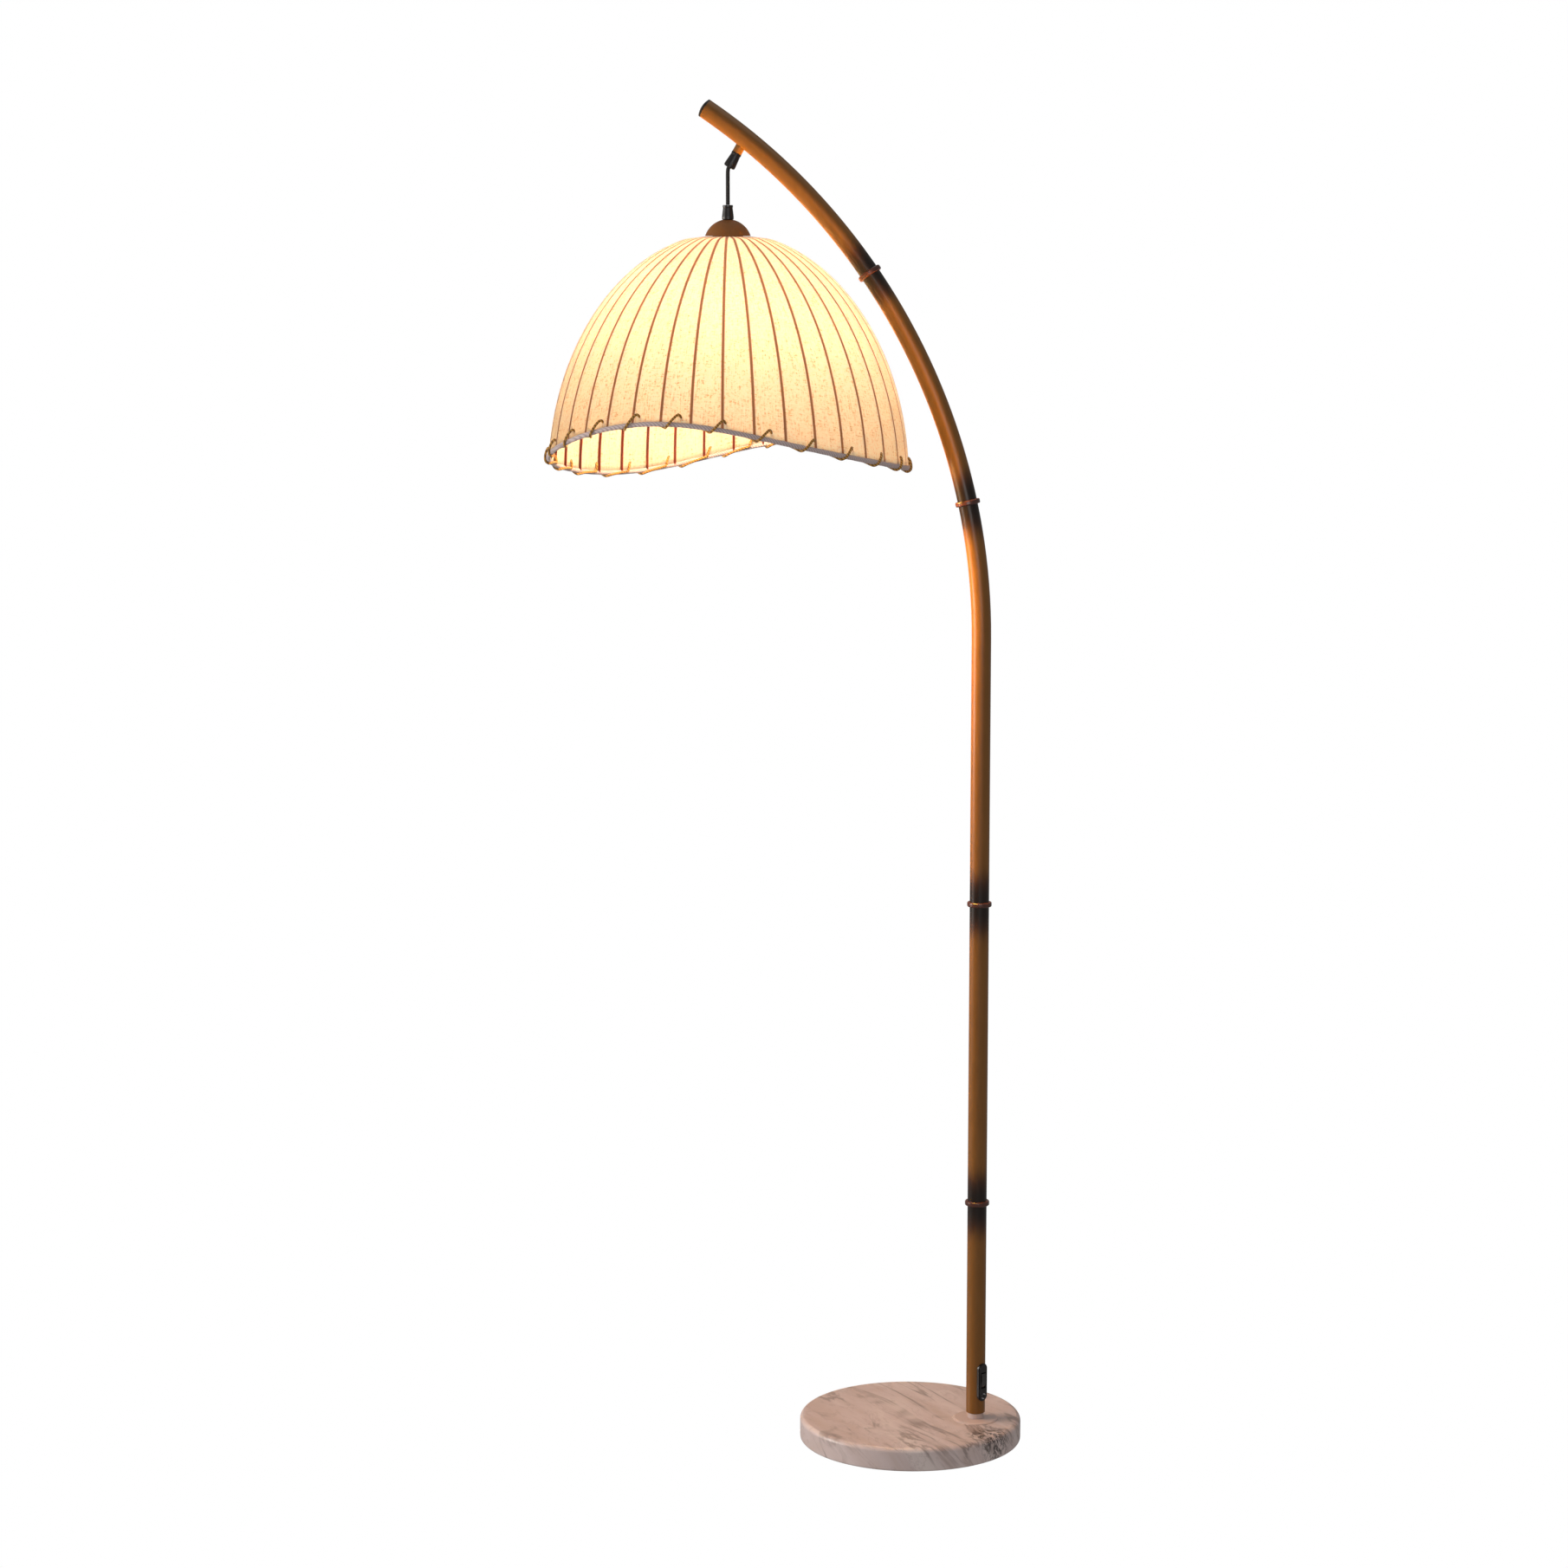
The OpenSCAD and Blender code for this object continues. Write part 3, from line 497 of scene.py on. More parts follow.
@dataclass(frozen=True)
class Linen(Finish):
    """Thin slubbed cloth that the bulb shines through, with the ribs' shadows painted in it and a painted glow
    of the bulb's light that grows towards the top.
    """

    axis_x: float = 0.0
    ribs: int = 36
    thick: Colour = tint(218, 186, 128)
    thin: Colour = tint(255, 246, 222)
    rib_shadow: Colour = tint(184, 116, 70)
    shadow_core: float = 0.0010
    shadow_edge: float = 0.0023
    shadow_share: float = 0.9
    # Colour, heights and strengths of the painted glow that stands in for the bulb's light through the cloth.
    glow: Colour = tint(255, 246, 240)
    dim_z: float = 1.25
    bright_z: float = 1.46
    dim_glow: float = 0.08
    bright_glow: float = 0.50
    through: float = 0.27

    def build(self) -> bpy.types.Material:
        """Makes the cloth's material, part plain surface and part light from behind.

        Returns:
            The finished material.
        """
        graph = Graph(self.name)
        x, y, z = graph.axes(graph.object)
        around, up, _ = graph.axes(graph.uv)
        across = graph.math("POWER", graph.minus(x, self.axis_x), 2.0)
        radius = graph.math("SQRT", graph.plus(across, graph.math("POWER", y, 2.0)))
        turn = graph.math("FRACT", graph.plus(graph.times(around, float(self.ribs)), 0.5))
        aside = graph.math("ABSOLUTE", graph.minus(turn, 0.5))
        distance = graph.times(aside, graph.times(radius, 2 * math.pi / self.ribs))
        shadow = graph.ease(distance, self.shadow_core, self.shadow_edge, 1.0, 0.0)
        along_weft = graph.vector(graph.times(around, 60.0), graph.times(up, 260.0), 0.0)
        weft = graph.cloud(along_weft, 1.6, 3.0, 0.6)
        along_warp = graph.vector(graph.times(around, 900.0), graph.times(up, 16.0), 3.0)
        warp = graph.cloud(along_warp, 1.0, 3.0, 0.6)
        mottle = graph.cloud(graph.object, 330.0, 4.0, 0.75)
        weave = graph.plus(graph.times(graph.plus(weft, warp), 0.28), graph.times(mottle, 0.44))
        cloth = graph.ramp(weave, ((0.40, self.thick), (0.47, self.colour), (0.60, self.thin)))
        # Painted shadow: a darker line along each rib.
        seen = graph.blend(graph.times(shadow, self.shadow_share), cloth, self.rib_shadow)
        # Painted glow: the cloth gives off light of its own, dim at the rim and bright near the top, standing
        # in for the bulb's light coming through it.
        painted_glow = graph.ease(z, self.dim_z, self.bright_z, self.dim_glow, self.bright_glow)
        graph.surface(Base_Color=seen, Roughness=0.45, Sheen_Weight=0.25, Sheen_Roughness=0.5,
                      Specular_IOR_Level=0.1, IOR=1.1, Transmission_Weight=0.2,
                      Emission_Strength=painted_glow,
                      Emission_Color=graph.blend(1.0, seen, self.glow, "MULTIPLY"))
        graph.bump(weave, 0.0005, 0.7)
        behind = graph.add("ShaderNodeBsdfTranslucent")
        graph.feed(behind.inputs["Color"], seen)
        mix = graph.add("ShaderNodeMixShader")
        mix.inputs[0].default_value = self.through
        graph.feed(mix.inputs[1], graph.shader.outputs[0])
        graph.feed(mix.inputs[2], behind.outputs[0])
        graph.feed(graph.output.inputs["Surface"], mix.outputs[0])
        return graph.material


@dataclass(frozen=True)
class Twine(Finish):
    """Twisted cord or folded tape: slanting strands with fuzz."""

    pitch: float = 700.0
    # Colour of the painted shade in the grooves between the strands.
    groove_shade: Colour = tint(70, 40, 14)

    def paint(self, graph: Graph) -> None:
        """Wires slanting bands and a fibrous bump.

        Args:
            graph: the material's nodes.
        """
        bands = graph.add("ShaderNodeTexWave", bands_direction="DIAGONAL")
        graph.feed(bands.inputs["Vector"], graph.object)
        bands.inputs["Scale"].default_value = self.pitch / 6
        bands.inputs["Distortion"].default_value = 1.2
        fuzz = graph.cloud(graph.object, self.pitch * 2, 3.0)
        height = graph.plus(graph.times(bands.outputs["Fac"], 0.7), graph.times(fuzz, 0.3))
        # The colour goes darker where the bump is low, in the grooves between the strands: painted shade in the
        # grooves.
        graph.surface(Base_Color=graph.ramp(height, ((0.2, self.groove_shade), (0.75, self.colour))))
        graph.surface(Roughness=0.85, Sheen_Weight=0.2)
        graph.bump(height, 0.0004)


@dataclass(frozen=True)
class Glow(Finish):
    """A surface that gives light itself."""

    strength: float = 5.0

    def paint(self, graph: Graph) -> None:
        """Wires an even glow that is a little uneven, as frosting is.

        Args:
            graph: the material's nodes.
        """
        frost = graph.cloud(graph.object, 300.0, 2.0)
        shade = graph.ramp(frost, ((0.3, tuple(c * 0.9 for c in self.colour)), (0.7, self.colour)))
        graph.surface(Base_Color=shade, Emission_Color=shade, Emission_Strength=self.strength, Roughness=0.4)


def new_object(name: str, data: bpy.types.ID) -> bpy.types.Object:
    """Puts a mesh, curve, camera or light into the scene.

    Args:
        name: the object's name.
        data: what it shows.

    Returns:
        The new object.
    """
    made = bpy.data.objects.new(name, data)
    bpy.context.scene.collection.objects.link(made)
    return made


def point_light(name: str, watts: float, colour: Colour, radius: float, place: Point) -> bpy.types.Object:
    """Adds one round light.

    Args:
        name: the light's name.
        watts: its power.
        colour: its colour.
        radius: its radius.
        place: where its middle is.

    Returns:
        The light's object.
    """
    light = bpy.data.lights.new(name, "POINT")
    light.energy = watts
    light.color = colour
    light.shadow_soft_size = radius
    holder = new_object(name, light)
    holder.location = place
    return holder


def add_piece(name: str, mesh: bpy.types.Mesh, body: Body,
              finish: bpy.types.Material) -> bpy.types.Object:
    """Links a finished mesh as a piece of the object.

    Args:
        name: the piece's name.
        mesh: its mesh, in place.
        body: the body that it rides on.
        finish: its material.

    Returns:
        The new object.
    """
    piece = new_object(name, mesh)
    mesh.materials.clear()
    mesh.materials.append(finish)
    mesh.shade_smooth()
    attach(piece, body.value)
    LOG.info("%s: %d faces", name, len(mesh.polygons))
    return piece


def mesh_of(form: bmesh.types.BMesh, name: str) -> bpy.types.Mesh:
    """Turns a finished bmesh into a mesh and frees it.

    Args:
        form: the finished shape.
        name: the mesh's name.

    Returns:
        The mesh.
    """
    mesh = bpy.data.meshes.new(name)
    form.to_mesh(mesh)
    form.free()
    return mesh


def sleeve(name: str, rows: int, turns: int, place: Callable[[float, float], Vector]) -> bpy.types.Mesh:
    """Shapes a sheet that goes once round an axis.

    Args:
        name: the mesh's name.
        rows: faces from its lower to its upper edge.
        turns: faces round the axis.
        place: gives the point at an azimuth in radians and a height from 0 to 1.

    Returns:
        The sheet, with UV of azimuth and height, each 0 to 1.
    """
    form = bmesh.new()
    rail = [form.verts.new((1.0, 0.0, row / rows)) for row in range(rows + 1)]
    edges = [form.edges.new(pair) for pair in zip(rail, rail[1:])]
    bmesh.ops.spin(form, geom=rail + edges, cent=(0, 0, 0), axis=(0, 0, 1), angle=2 * math.pi, steps=turns,
                   use_merge=True)
    bmesh.ops.remove_doubles(form, verts=form.verts, dist=0.00001)
    bmesh.ops.recalc_face_normals(form, faces=form.faces)
    layer = form.loops.layers.uv.new("UVMap")
    for face in form.faces:
        middle = azimuth(face.calc_center_median())
        for loop in face.loops:
            turn = azimuth(loop.vert.co)
            turn += math.tau * round((middle - turn) / math.tau)
            loop[layer].uv = (turn / math.tau, loop.vert.co.z)
    for vertex in form.verts:
        vertex.co = place(azimuth(vertex.co), vertex.co.z)
    return mesh_of(form, name)


def azimuth(point: Vector) -> float:
    """The angle of a point round the Z axis, 0 to a full turn."""
    return math.atan2(point.y, point.x) % math.tau


def tubes(name: str, runs: Sequence[Sequence[Vector]], radius: float, closed: bool,
          sides: int = 8) -> bpy.types.Mesh:
    """Sweeps a round section along one or more runs of points.

    Args:
        name: the mesh's name.
        runs: each run's points.
        radius: the section's radius.
        closed: joins each run's end to its start.
        sides: sides of the section.

    Returns:
        The swept mesh, smooth between the points.
    """
    line = bpy.data.curves.new(name, "CURVE")
    line.dimensions = "3D"
    line.bevel_depth = radius
    line.bevel_resolution = (sides - 4) // 2
    line.use_fill_caps = not closed
    for run in runs:
        spline = line.splines.new("POLY")
        spline.points.add(len(run) - 1)
        for knot, point in zip(spline.points, run):
            knot.co = (*point, 1.0)
        spline.use_cyclic_u = closed
    holder = new_object(name, line)
    mesh = bpy.data.meshes.new_from_object(holder.evaluated_get(bpy.context.evaluated_depsgraph_get()))
    bpy.data.objects.remove(holder)
    mesh.name = name
    return mesh


def smooth_run(points: Sequence[Vector], steps: int, closed: bool) -> list[Vector]:
    """Rounds a run of points with a Catmull-Rom curve.

    Args:
        points: the points to pass through.
        steps: new points for each old one.
        closed: whether the run joins up with itself.

    Returns:
        The finer run.
    """
    count = len(points)
    fine: list[Vector] = []
    for index in range(count if closed else count - 1):
        if closed:
            a, b, c, d = (points[(index + k) % count] for k in (-1, 0, 1, 2))
        else:
            a, b, c, d = (points[min(max(index + k, 0), count - 1)] for k in (-1, 0, 1, 2))
        for step in range(steps):
            t = step / steps
            fine.append(0.5 * (2 * b + (c - a) * t + (2 * a - 5 * b + 4 * c - d) * t * t
                               + (3 * b - a - 3 * c + d) * t ** 3))
    if not closed:
        fine.append(points[-1].copy())
    return fine


def solidify(piece: bpy.types.Object, thickness: float, offset: float = -1.0) -> None:
    """Gives a sheet its thickness.

    Args:
        piece: the sheet.
        thickness: its thickness.
        offset: -1 grows it inwards from its outer face, 0 to both sides alike.
    """
    wall = piece.modifiers.new("thickness", "SOLIDIFY")
    wall.thickness = thickness
    wall.offset = offset


@dataclass(frozen=True)
class Studio:
    """The camera, the floor and the lights."""

    centre: Point = (0.0, 0.0, 0.84)
    eye: Point = (0.8036, -4.5527, 1.5267)
    turn: float = math.radians(12.0)
    pitch: float = math.radians(8.44)
    sensor: float = 36.0
    focal: float = 86.42
    far: float = 60.0
    air: Colour = (1.0, 0.98, 0.96)
    air_strength: float = 0.28
    white: Colour = (1.0, 1.0, 1.0)
    floor_half: float = 6.0
    floor_gap: float = 0.0005

    def camera(self) -> None:
        """Places the camera a little above the lamp's middle, to the front and right."""
        level = math.cos(self.pitch)
        back = Vector((math.sin(self.turn) * level, -math.cos(self.turn) * level, math.sin(self.pitch)))
        lens = bpy.data.cameras.new("camera")
        lens.sensor_width = self.sensor
        lens.lens = self.focal
        lens.clip_end = self.far
        camera = new_object("camera", lens)
        camera.location = self.eye
        camera.rotation_euler = back.to_track_quat("Z", "Y").to_euler()
        bpy.context.scene.camera = camera

    def lamp(self, name: str, place: Point, watts: float, size: float, colour: Colour = (1.0, 1.0, 1.0),
             aim: Point | None = None) -> None:
        """Adds one soft area light.

        Args:
            name: the light's name.
            place: where it hangs.
            watts: its power.
            size: width of its square face.
            colour: its colour.
            aim: the point that it faces, the lamp's middle if left out.
        """
        light = bpy.data.lights.new(name, "AREA")
        light.energy = watts
        light.size = size
        light.color = colour
        holder = new_object(name, light)
        holder.visible_camera = False
        holder.location = place
        back = Vector(place) - Vector(aim or self.centre)
        holder.rotation_euler = back.to_track_quat("Z", "Y").to_euler()

    @staticmethod
    def spare(light: str, piece: bpy.types.Object) -> None:
        """Keeps one light off one piece.

        Args:
            light: the light's name.
            piece: the piece that it leaves out.
        """
        spared = bpy.data.collections.new(f"{light}_spares")
        spared.objects.link(piece)
        spared.collection_objects[0].light_linking.link_state = "EXCLUDE"
        bpy.data.objects[light].light_linking.receiver_collection = spared

    def surroundings(self) -> None:
        """Makes a white surrounding that lights the lamp only dimly."""
        world = bpy.data.worlds.new("studio")
        world.use_nodes = True
        tree = world.node_tree
        dim = tree.nodes["Background"]
        dim.inputs["Color"].default_value = (*self.air, 1.0)
        dim.inputs["Strength"].default_value = self.air_strength
        white = tree.nodes.new("ShaderNodeBackground")
        white.inputs["Color"].default_value = (*self.white, 1.0)
        seen = tree.nodes.new("ShaderNodeLightPath")
        mix = tree.nodes.new("ShaderNodeMixShader")
        tree.links.new(seen.outputs["Is Camera Ray"], mix.inputs[0])
        tree.links.new(dim.outputs[0], mix.inputs[1])
        tree.links.new(white.outputs[0], mix.inputs[2])
        tree.links.new(mix.outputs[0], tree.nodes["World Output"].inputs["Surface"])
        bpy.context.scene.world = world

    def floor(self) -> None:
        """Lays a plain white floor, which shows from above only and throws no light on the lamp."""
        shape = bmesh.new()
        bmesh.ops.create_grid(shape, x_segments=1, y_segments=1, size=self.floor_half)
        bmesh.ops.translate(shape, verts=shape.verts, vec=(0.0, 0.0, -self.floor_gap))
        mesh = mesh_of(shape, "floor")
        graph = Graph("white_floor")
        white = graph.add("ShaderNodeEmission")
        clear = graph.add("ShaderNodeBsdfTransparent")
        side = graph.add("ShaderNodeNewGeometry")
        mix = graph.add("ShaderNodeMixShader")
        graph.feed(mix.inputs[0], side.outputs["Backfacing"])
        graph.feed(mix.inputs[1], white.outputs[0])
        graph.feed(mix.inputs[2], clear.outputs[0])
        graph.feed(graph.output.inputs["Surface"], mix.outputs[0])
        mesh.materials.append(graph.material)
        floor = new_object("floor", mesh)
        floor.visible_diffuse = floor.visible_glossy = False
        floor.visible_transmission = floor.visible_shadow = False

    def build(self) -> None:
        """Sets up the whole studio."""
        bpy.context.scene.view_settings.view_transform = "Standard"
        self.surroundings()
        self.floor()
        self.lamp("key", (-4.0, -0.9, 1.1), watts=118.0, size=1.6, colour=(1.0, 0.96, 0.91))
        self.lamp("front", (1.2, -4.2, 1.5), watts=36.0, size=2.0)
        self.lamp("top", (0.2, 0.4, 4.0), watts=12.0, size=2.4)
        self.lamp("mouth", (-0.16, -0.06, 1.12), watts=2.8, size=0.25, colour=(1.0, 0.5, 0.16),
                  aim=(0.0, 0.0, 0.03))
        LOG.info("studio ready")


@dataclass
class Flex:
    """The short cord that the shade hangs on."""

    finish: bpy.types.Material
    diameter: float = 0.005
    lean: float = math.radians(30)
    into_arm: float = 0.0031
    straight: float = 0.0015
    elbow: Point = (0.0002, 0.0, -0.001)
    below_elbow: Point = (0.0, 0.0, -0.006)
    hanging: tuple[float, ...] = (0.3, 0.55, 0.8)
    tuck: float = 0.0029

    def build(self) -> bpy.types.Object:
        """Makes the cord from the arm's grip to the shade's grip.

        Returns:
            The cord's piece.
        """
        low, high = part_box("pendant_cord")
        middle_x = (low.x + high.x) / 2
        upper = Vector((middle_x, 0.0, high.z - self.diameter / 2))
        lower = Vector((middle_x, 0.0, low.z + self.diameter / 2))
        outwards = Vector((-math.sin(self.lean), 0.0, -math.cos(self.lean)))
        mouth = upper - self.into_arm * outwards
        knots = [mouth, mouth + self.straight * outwards, upper + Vector(self.elbow),
                 upper + Vector(self.below_elbow), *(upper.lerp(lower, share) for share in self.hanging),
                 lower, lower - Vector((0, 0, self.tuck))]
        path = smooth_run(knots, 4, closed=False)
        mesh = tubes("hanging_cord", [path], self.diameter / 2, closed=False, sides=16)
        mesh.materials.append(self.finish)
        mesh.shade_smooth()
        cord = new_object("hanging_cord", mesh)
        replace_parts(cord, "pendant_cord")
        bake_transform(cord)
        return cord


@dataclass
class Stand:
    """The marble base, the foot, and the bamboo pole and arm."""

    paint: bpy.types.Material
    ring_paint: bpy.types.Material
    shade_watts: float = 36.0
    shade_colour: Colour = (1.0, 0.54, 0.05)
    shade_light_r: float = 0.12
    shade_light_off: Point = (0.07, -0.06, 0.1)

    def build(self) -> None:
        """Dresses the stand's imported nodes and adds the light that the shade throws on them."""
        self.slab()
        self.foot()
        tubes_and_boss = ("pole_section_1", "pole_section_2", "pole_section_3", "arm_section_1",
                          "arm_section_2", "arm_boss")
        rings = tuple(f"node_ring_{number}" for number in range(1, 5))
        for name in tubes_and_boss:
            dress(name, self.paint)
        for name in rings:
            dress(name, self.ring_paint)
        self.shade_light((*tubes_and_boss, *rings, "arm_end_cap"))

    def shade_light(self, names: Sequence[str]) -> None:
        """Adds the warm light that the glowing shade throws on the arm and the pole.

        Args:
            names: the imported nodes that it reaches.
        """
        low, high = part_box("shade_fabric")
        along, aside, up = self.shade_light_off
        holder = point_light("shade_light", self.shade_watts, self.shade_colour, self.shade_light_r,
                             ((low.x + high.x) / 2 + along, aside, low.z + up))
        holder.data.use_shadow = False
        reach = bpy.data.collections.new("shade_light_reach")
        for name in names:
            reach.objects.link(FRAME["nodes"][name])
        holder.light_linking.receiver_collection = reach

    def slab(self) -> None:
        """Dresses the marble slab and its pad."""
        dress("marble_base", Marble("veined_marble", tint(207, 187, 183)).build())
        dress("base_pad", Finish("foam_felt", tint(62, 60, 58), 0.95, grain=2500.0, depth=0.0003).build())

    def foot(self) -> None:
        """Dresses the pale foot plate and collar."""
        pale = Finish("pale_enamel", tint(196, 172, 164), 0.45, coat=0.15, vary=0.05, depth=0.00002).build()
        for name in ("foot_plate", "foot_collar"):
            dress(name, pale)


@dataclass
class Shade:
    """The linen dome on its wire frame, with its bound and laced rim."""

    linen: bpy.types.Material
    wire: bpy.types.Material
    tape: bpy.types.Material
    lace: bpy.types.Material
    dome_r: float = 0.2235
    dome_h: float = 0.304
    neck_r: float = 0.052
    neck_h: float = 0.003
    top_r: float = 0.026
    dome_share: float = 0.92
    cloth: float = 0.0008
    cloth_low: float = 0.0018
    slack: float = 0.0016
    ripple: float = 0.0005
    cut_h: float = 0.36
    rim_rise: float = 0.034
    waves: tuple[tuple[float, float], ...] = (
        (0.025, -83.0), (0.0215, -104.0), (0.003, -46.5), (0.003, -11.5))
    ribs: int = 36
    first_rib: float = 1.0
    rib_wire: float = 0.0015
    rib_steps: int = 22
    rib_low: float = 0.0005
    rib_top: float = 0.97
    ring_wire: float = 0.0015
    play: float = 0.0001
    binding: float = 0.0028
    tape_cloth: float = 0.0006
    fold_start: float = 72.0
    fold_turn: float = 324.0
    stitches: int = 25
    first_stitch: float = 7.8
    lace_r: float = 0.0016
    lace_rise: float = 0.012
    axis_x: float = field(init=False)
    top_z: float = field(init=False)
    dome_z: float = field(init=False)

    def __post_init__(self) -> None:
        """Finds the shade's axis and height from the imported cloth."""
        low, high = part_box("shade_fabric")
        self.axis_x = (low.x + high.x) / 2
        self.top_z = high.z
        self.dome_z = self.top_z - self.neck_h - self.dome_h * math.sqrt(1 - (self.neck_r / self.dome_r) ** 2)

    def rim_z(self, turn: float) -> float:
        """Height of the rim's wire.

        Args:
            turn: the azimuth in radians.

        Returns:
            The height, which the waves raise and lower round the shade.
        """
        return self.dome_z + self.rim_rise + sum(
            height * math.cos((order + 1) * (turn - math.radians(crest)))
            for order, (height, crest) in enumerate(self.waves))

    def dome(self, level: float, inside: float) -> tuple[float, float]:
        """Radius and height of the dome.

        Args:
            level: the elliptic angle.
            inside: distance inside the outer face.

        Returns:
            The radius and height.
        """
        radius = (self.dome_r - inside) * math.cos(level)
        return radius, self.dome_z + (self.dome_h - inside) * math.sin(level)

    def level(self, z: float) -> float:
        """The elliptic angle at a height."""
        return math.asin((z - self.dome_z) / self.dome_h)

    def turned(self, radius: float, z: float, turn: float) -> Vector:
        """A point at a radius and height on an azimuth."""
        return Vector((self.axis_x + radius * math.cos(turn), radius * math.sin(turn), z))

    def rim_r(self, turn: float) -> float:
        """Radius of the rim's wire at an azimuth."""
        return self.dome(self.level(self.rim_z(turn)), self.cloth / 2)[0]

    def meridian(self, turn: float, height: float, inside: float, low: float) -> tuple[float, float]:
        """Radius and height of the cloth along one meridian.

        Args:
            turn: the azimuth.
            height: 0 at the rim and 1 at the upper edge.
            inside: distance inside the outer face.
            low: height of the cloth's lower edge above the rim's wire.

        Returns:
            The radius and height.
        """
        neck_level = math.acos(self.neck_r / self.dome_r)
        if height <= self.dome_share:
            start = self.level(self.rim_z(turn) + low)
            return self.dome(start + (neck_level - start) * height / self.dome_share, inside)
        share = (height - self.dome_share) / (1 - self.dome_share)
        radius = self.neck_r + (self.top_r - self.neck_r) * share
        return radius, self.top_z - self.neck_h * (1 - share) - inside

    def cloth_point(self, turn: float, height: float) -> Vector:
        """A point of the cloth's outer face, drawn in a little between the ribs.

        Args:
            turn: the azimuth from the first rib, in radians.
            height: 0 at the lower edge and 1 at the upper edge.

        Returns:
            The point.
        """
        turn += math.radians(self.first_rib)
        radius, z = self.meridian(turn, height, 0.0, self.cloth_low)
        between = abs(math.sin(self.ribs / 2 * (turn - math.radians(self.first_rib))))
        slack = self.slack * between * math.sin(math.pi * min(height * 1.1 + 0.06, 1.0))
        ripple = self.ripple * noise.noise(Vector((math.cos(turn) * 9, math.sin(turn) * 9, z * 40)))
        return self.turned(radius - slack - abs(ripple) * between, z, turn)

    def fabric(self) -> bpy.types.Object:
        """Makes the cloth.

        Returns:
            The cloth's piece.
        """
        mesh = sleeve("linen_dome", 56, self.ribs * 8, self.cloth_point)
        piece = add_piece("linen_dome", mesh, Body.SHADE, self.linen)
        solidify(piece, self.cloth * 0.9)
        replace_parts(piece, "shade_fabric")
        return piece

    def hem_point(self, turn: float, height: float) -> Vector:
        """A point of the tape folded round the rim's wire, a little uneven and drawn in at each stitch.

        Args:
            turn: the azimuth in radians.
            height: 0 at one edge of the tape and 1 at the other.

        Returns:
            The point.
        """
        around = math.radians(self.fold_start - self.fold_turn * height)
        swell = 1 - 0.10 * noise.noise(Vector((math.cos(turn) * 22, math.sin(turn) * 22, 3 * height))) ** 2
        pinch = 1 - 0.09 * max(0.0, math.cos(self.stitches * (turn - math.radians(self.first_stitch)))) ** 6
        radius = self.binding * swell * pinch
        out, up = radius * math.cos(around), radius * math.sin(around)
        return self.turned(self.rim_r(turn) + out, self.rim_z(turn) + up, turn)

    def hem(self) -> bpy.types.Object:
        """Makes the binding round the rim.

        Returns:
            The binding's piece.
        """
        mesh = sleeve("hem_binding", 14, 400, self.hem_point)
        piece = add_piece("hem_binding", mesh, Body.SHADE, self.tape)
        solidify(piece, self.tape_cloth, offset=0.0)
        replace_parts(piece, "rim_binding")
        return piece

    def rib_run(self, turn: float) -> list[Vector]:
        """One rib's points, from the rim up to the upper ring.

        Args:
            turn: the rib's azimuth in radians.

        Returns:
            The points.
        """
        inside = self.cloth + self.rib_wire + self.play
        heights = [step / self.rib_steps * self.rib_top for step in range(self.rib_steps + 1)]
        return [self.turned(*self.meridian(turn, height, inside, self.rib_low), turn) for height in heights]

    def frame_wires(self) -> None:
        """Makes the ribs and the rim's wire, and dresses the upper ring and the fitter."""
        runs = [self.rib_run(math.radians(self.first_rib + 360 / self.ribs * number))
                for number in range(self.ribs)]
        ribs = tubes("dome_ribs", runs, self.rib_wire, closed=False)
        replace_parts(add_piece("dome_ribs", ribs, Body.SHADE, self.wire), "shade_ribs")
        turns = [math.tau * step / 240 for step in range(240)]
        lower = [self.turned(self.rim_r(turn), self.rim_z(turn), turn) for turn in turns]
        rim = tubes("rim_wire", [lower], self.ring_wire, closed=True)
        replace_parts(add_piece("rim_wire", rim, Body.SHADE, self.wire), "shade_bottom_ring")
        for name in ("shade_top_ring", "shade_fitter"):
            dress(name, self.wire)

    def stitch_points(self) -> list[Vector]:
        """The lacing's points, each stitch given as degrees, distance outwards and height.

        A stitch goes up outside the hem, through the cloth above it, down inside, on behind the hem and
        under it to the next one.

        Returns:
            The points of all the stitches in order.
        """
        gap = self.binding + self.lace_r + self.play
        stitch = (
            (-4.5, 0.0, -gap), (-3.7, gap * 0.8, -gap * 0.6), (-2.7, gap, gap * 0.3),
            (-1.3, gap * 0.7, self.lace_rise * 0.65), (0.0, 0.0, self.lace_rise),
            (0.8, -gap * 0.7, self.lace_rise * 0.65), (1.5, -gap, gap * 0.3),
            (2.5, -gap * 0.99, gap * 0.14), (4.0, -gap, 0.0), (6.0, -gap * 0.98, -gap * 0.2),
            (8.2, -gap * 0.85, -gap * 0.53))
        points = []
        for number in range(self.stitches):
            for degrees, out, up in stitch:
                turn = math.radians(self.first_stitch + 360 / self.stitches * number + degrees)
                points.append(self.turned(self.rim_r(turn) + out, self.rim_z(turn) + up, turn))
        return points

    def lacing(self) -> bpy.types.Object:
        """Makes the endless lacing cord.

        Returns:
            The lacing's piece.
        """
        run = smooth_run(self.stitch_points(), 4, closed=True)
        mesh = tubes("rim_lace", [run], self.lace_r, closed=True)
        piece = add_piece("rim_lace", mesh, Body.SHADE, self.lace)
        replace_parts(piece, "rim_lacing")
        return piece

    def build(self) -> None:
        """Makes the whole shade and works out its cloth's flat area."""
        cloth = self.fabric()
        Studio.spare("key", cloth)
        hem = self.hem()
        self.frame_wires()
        lacing = self.lacing()
        area = self.cut_area()

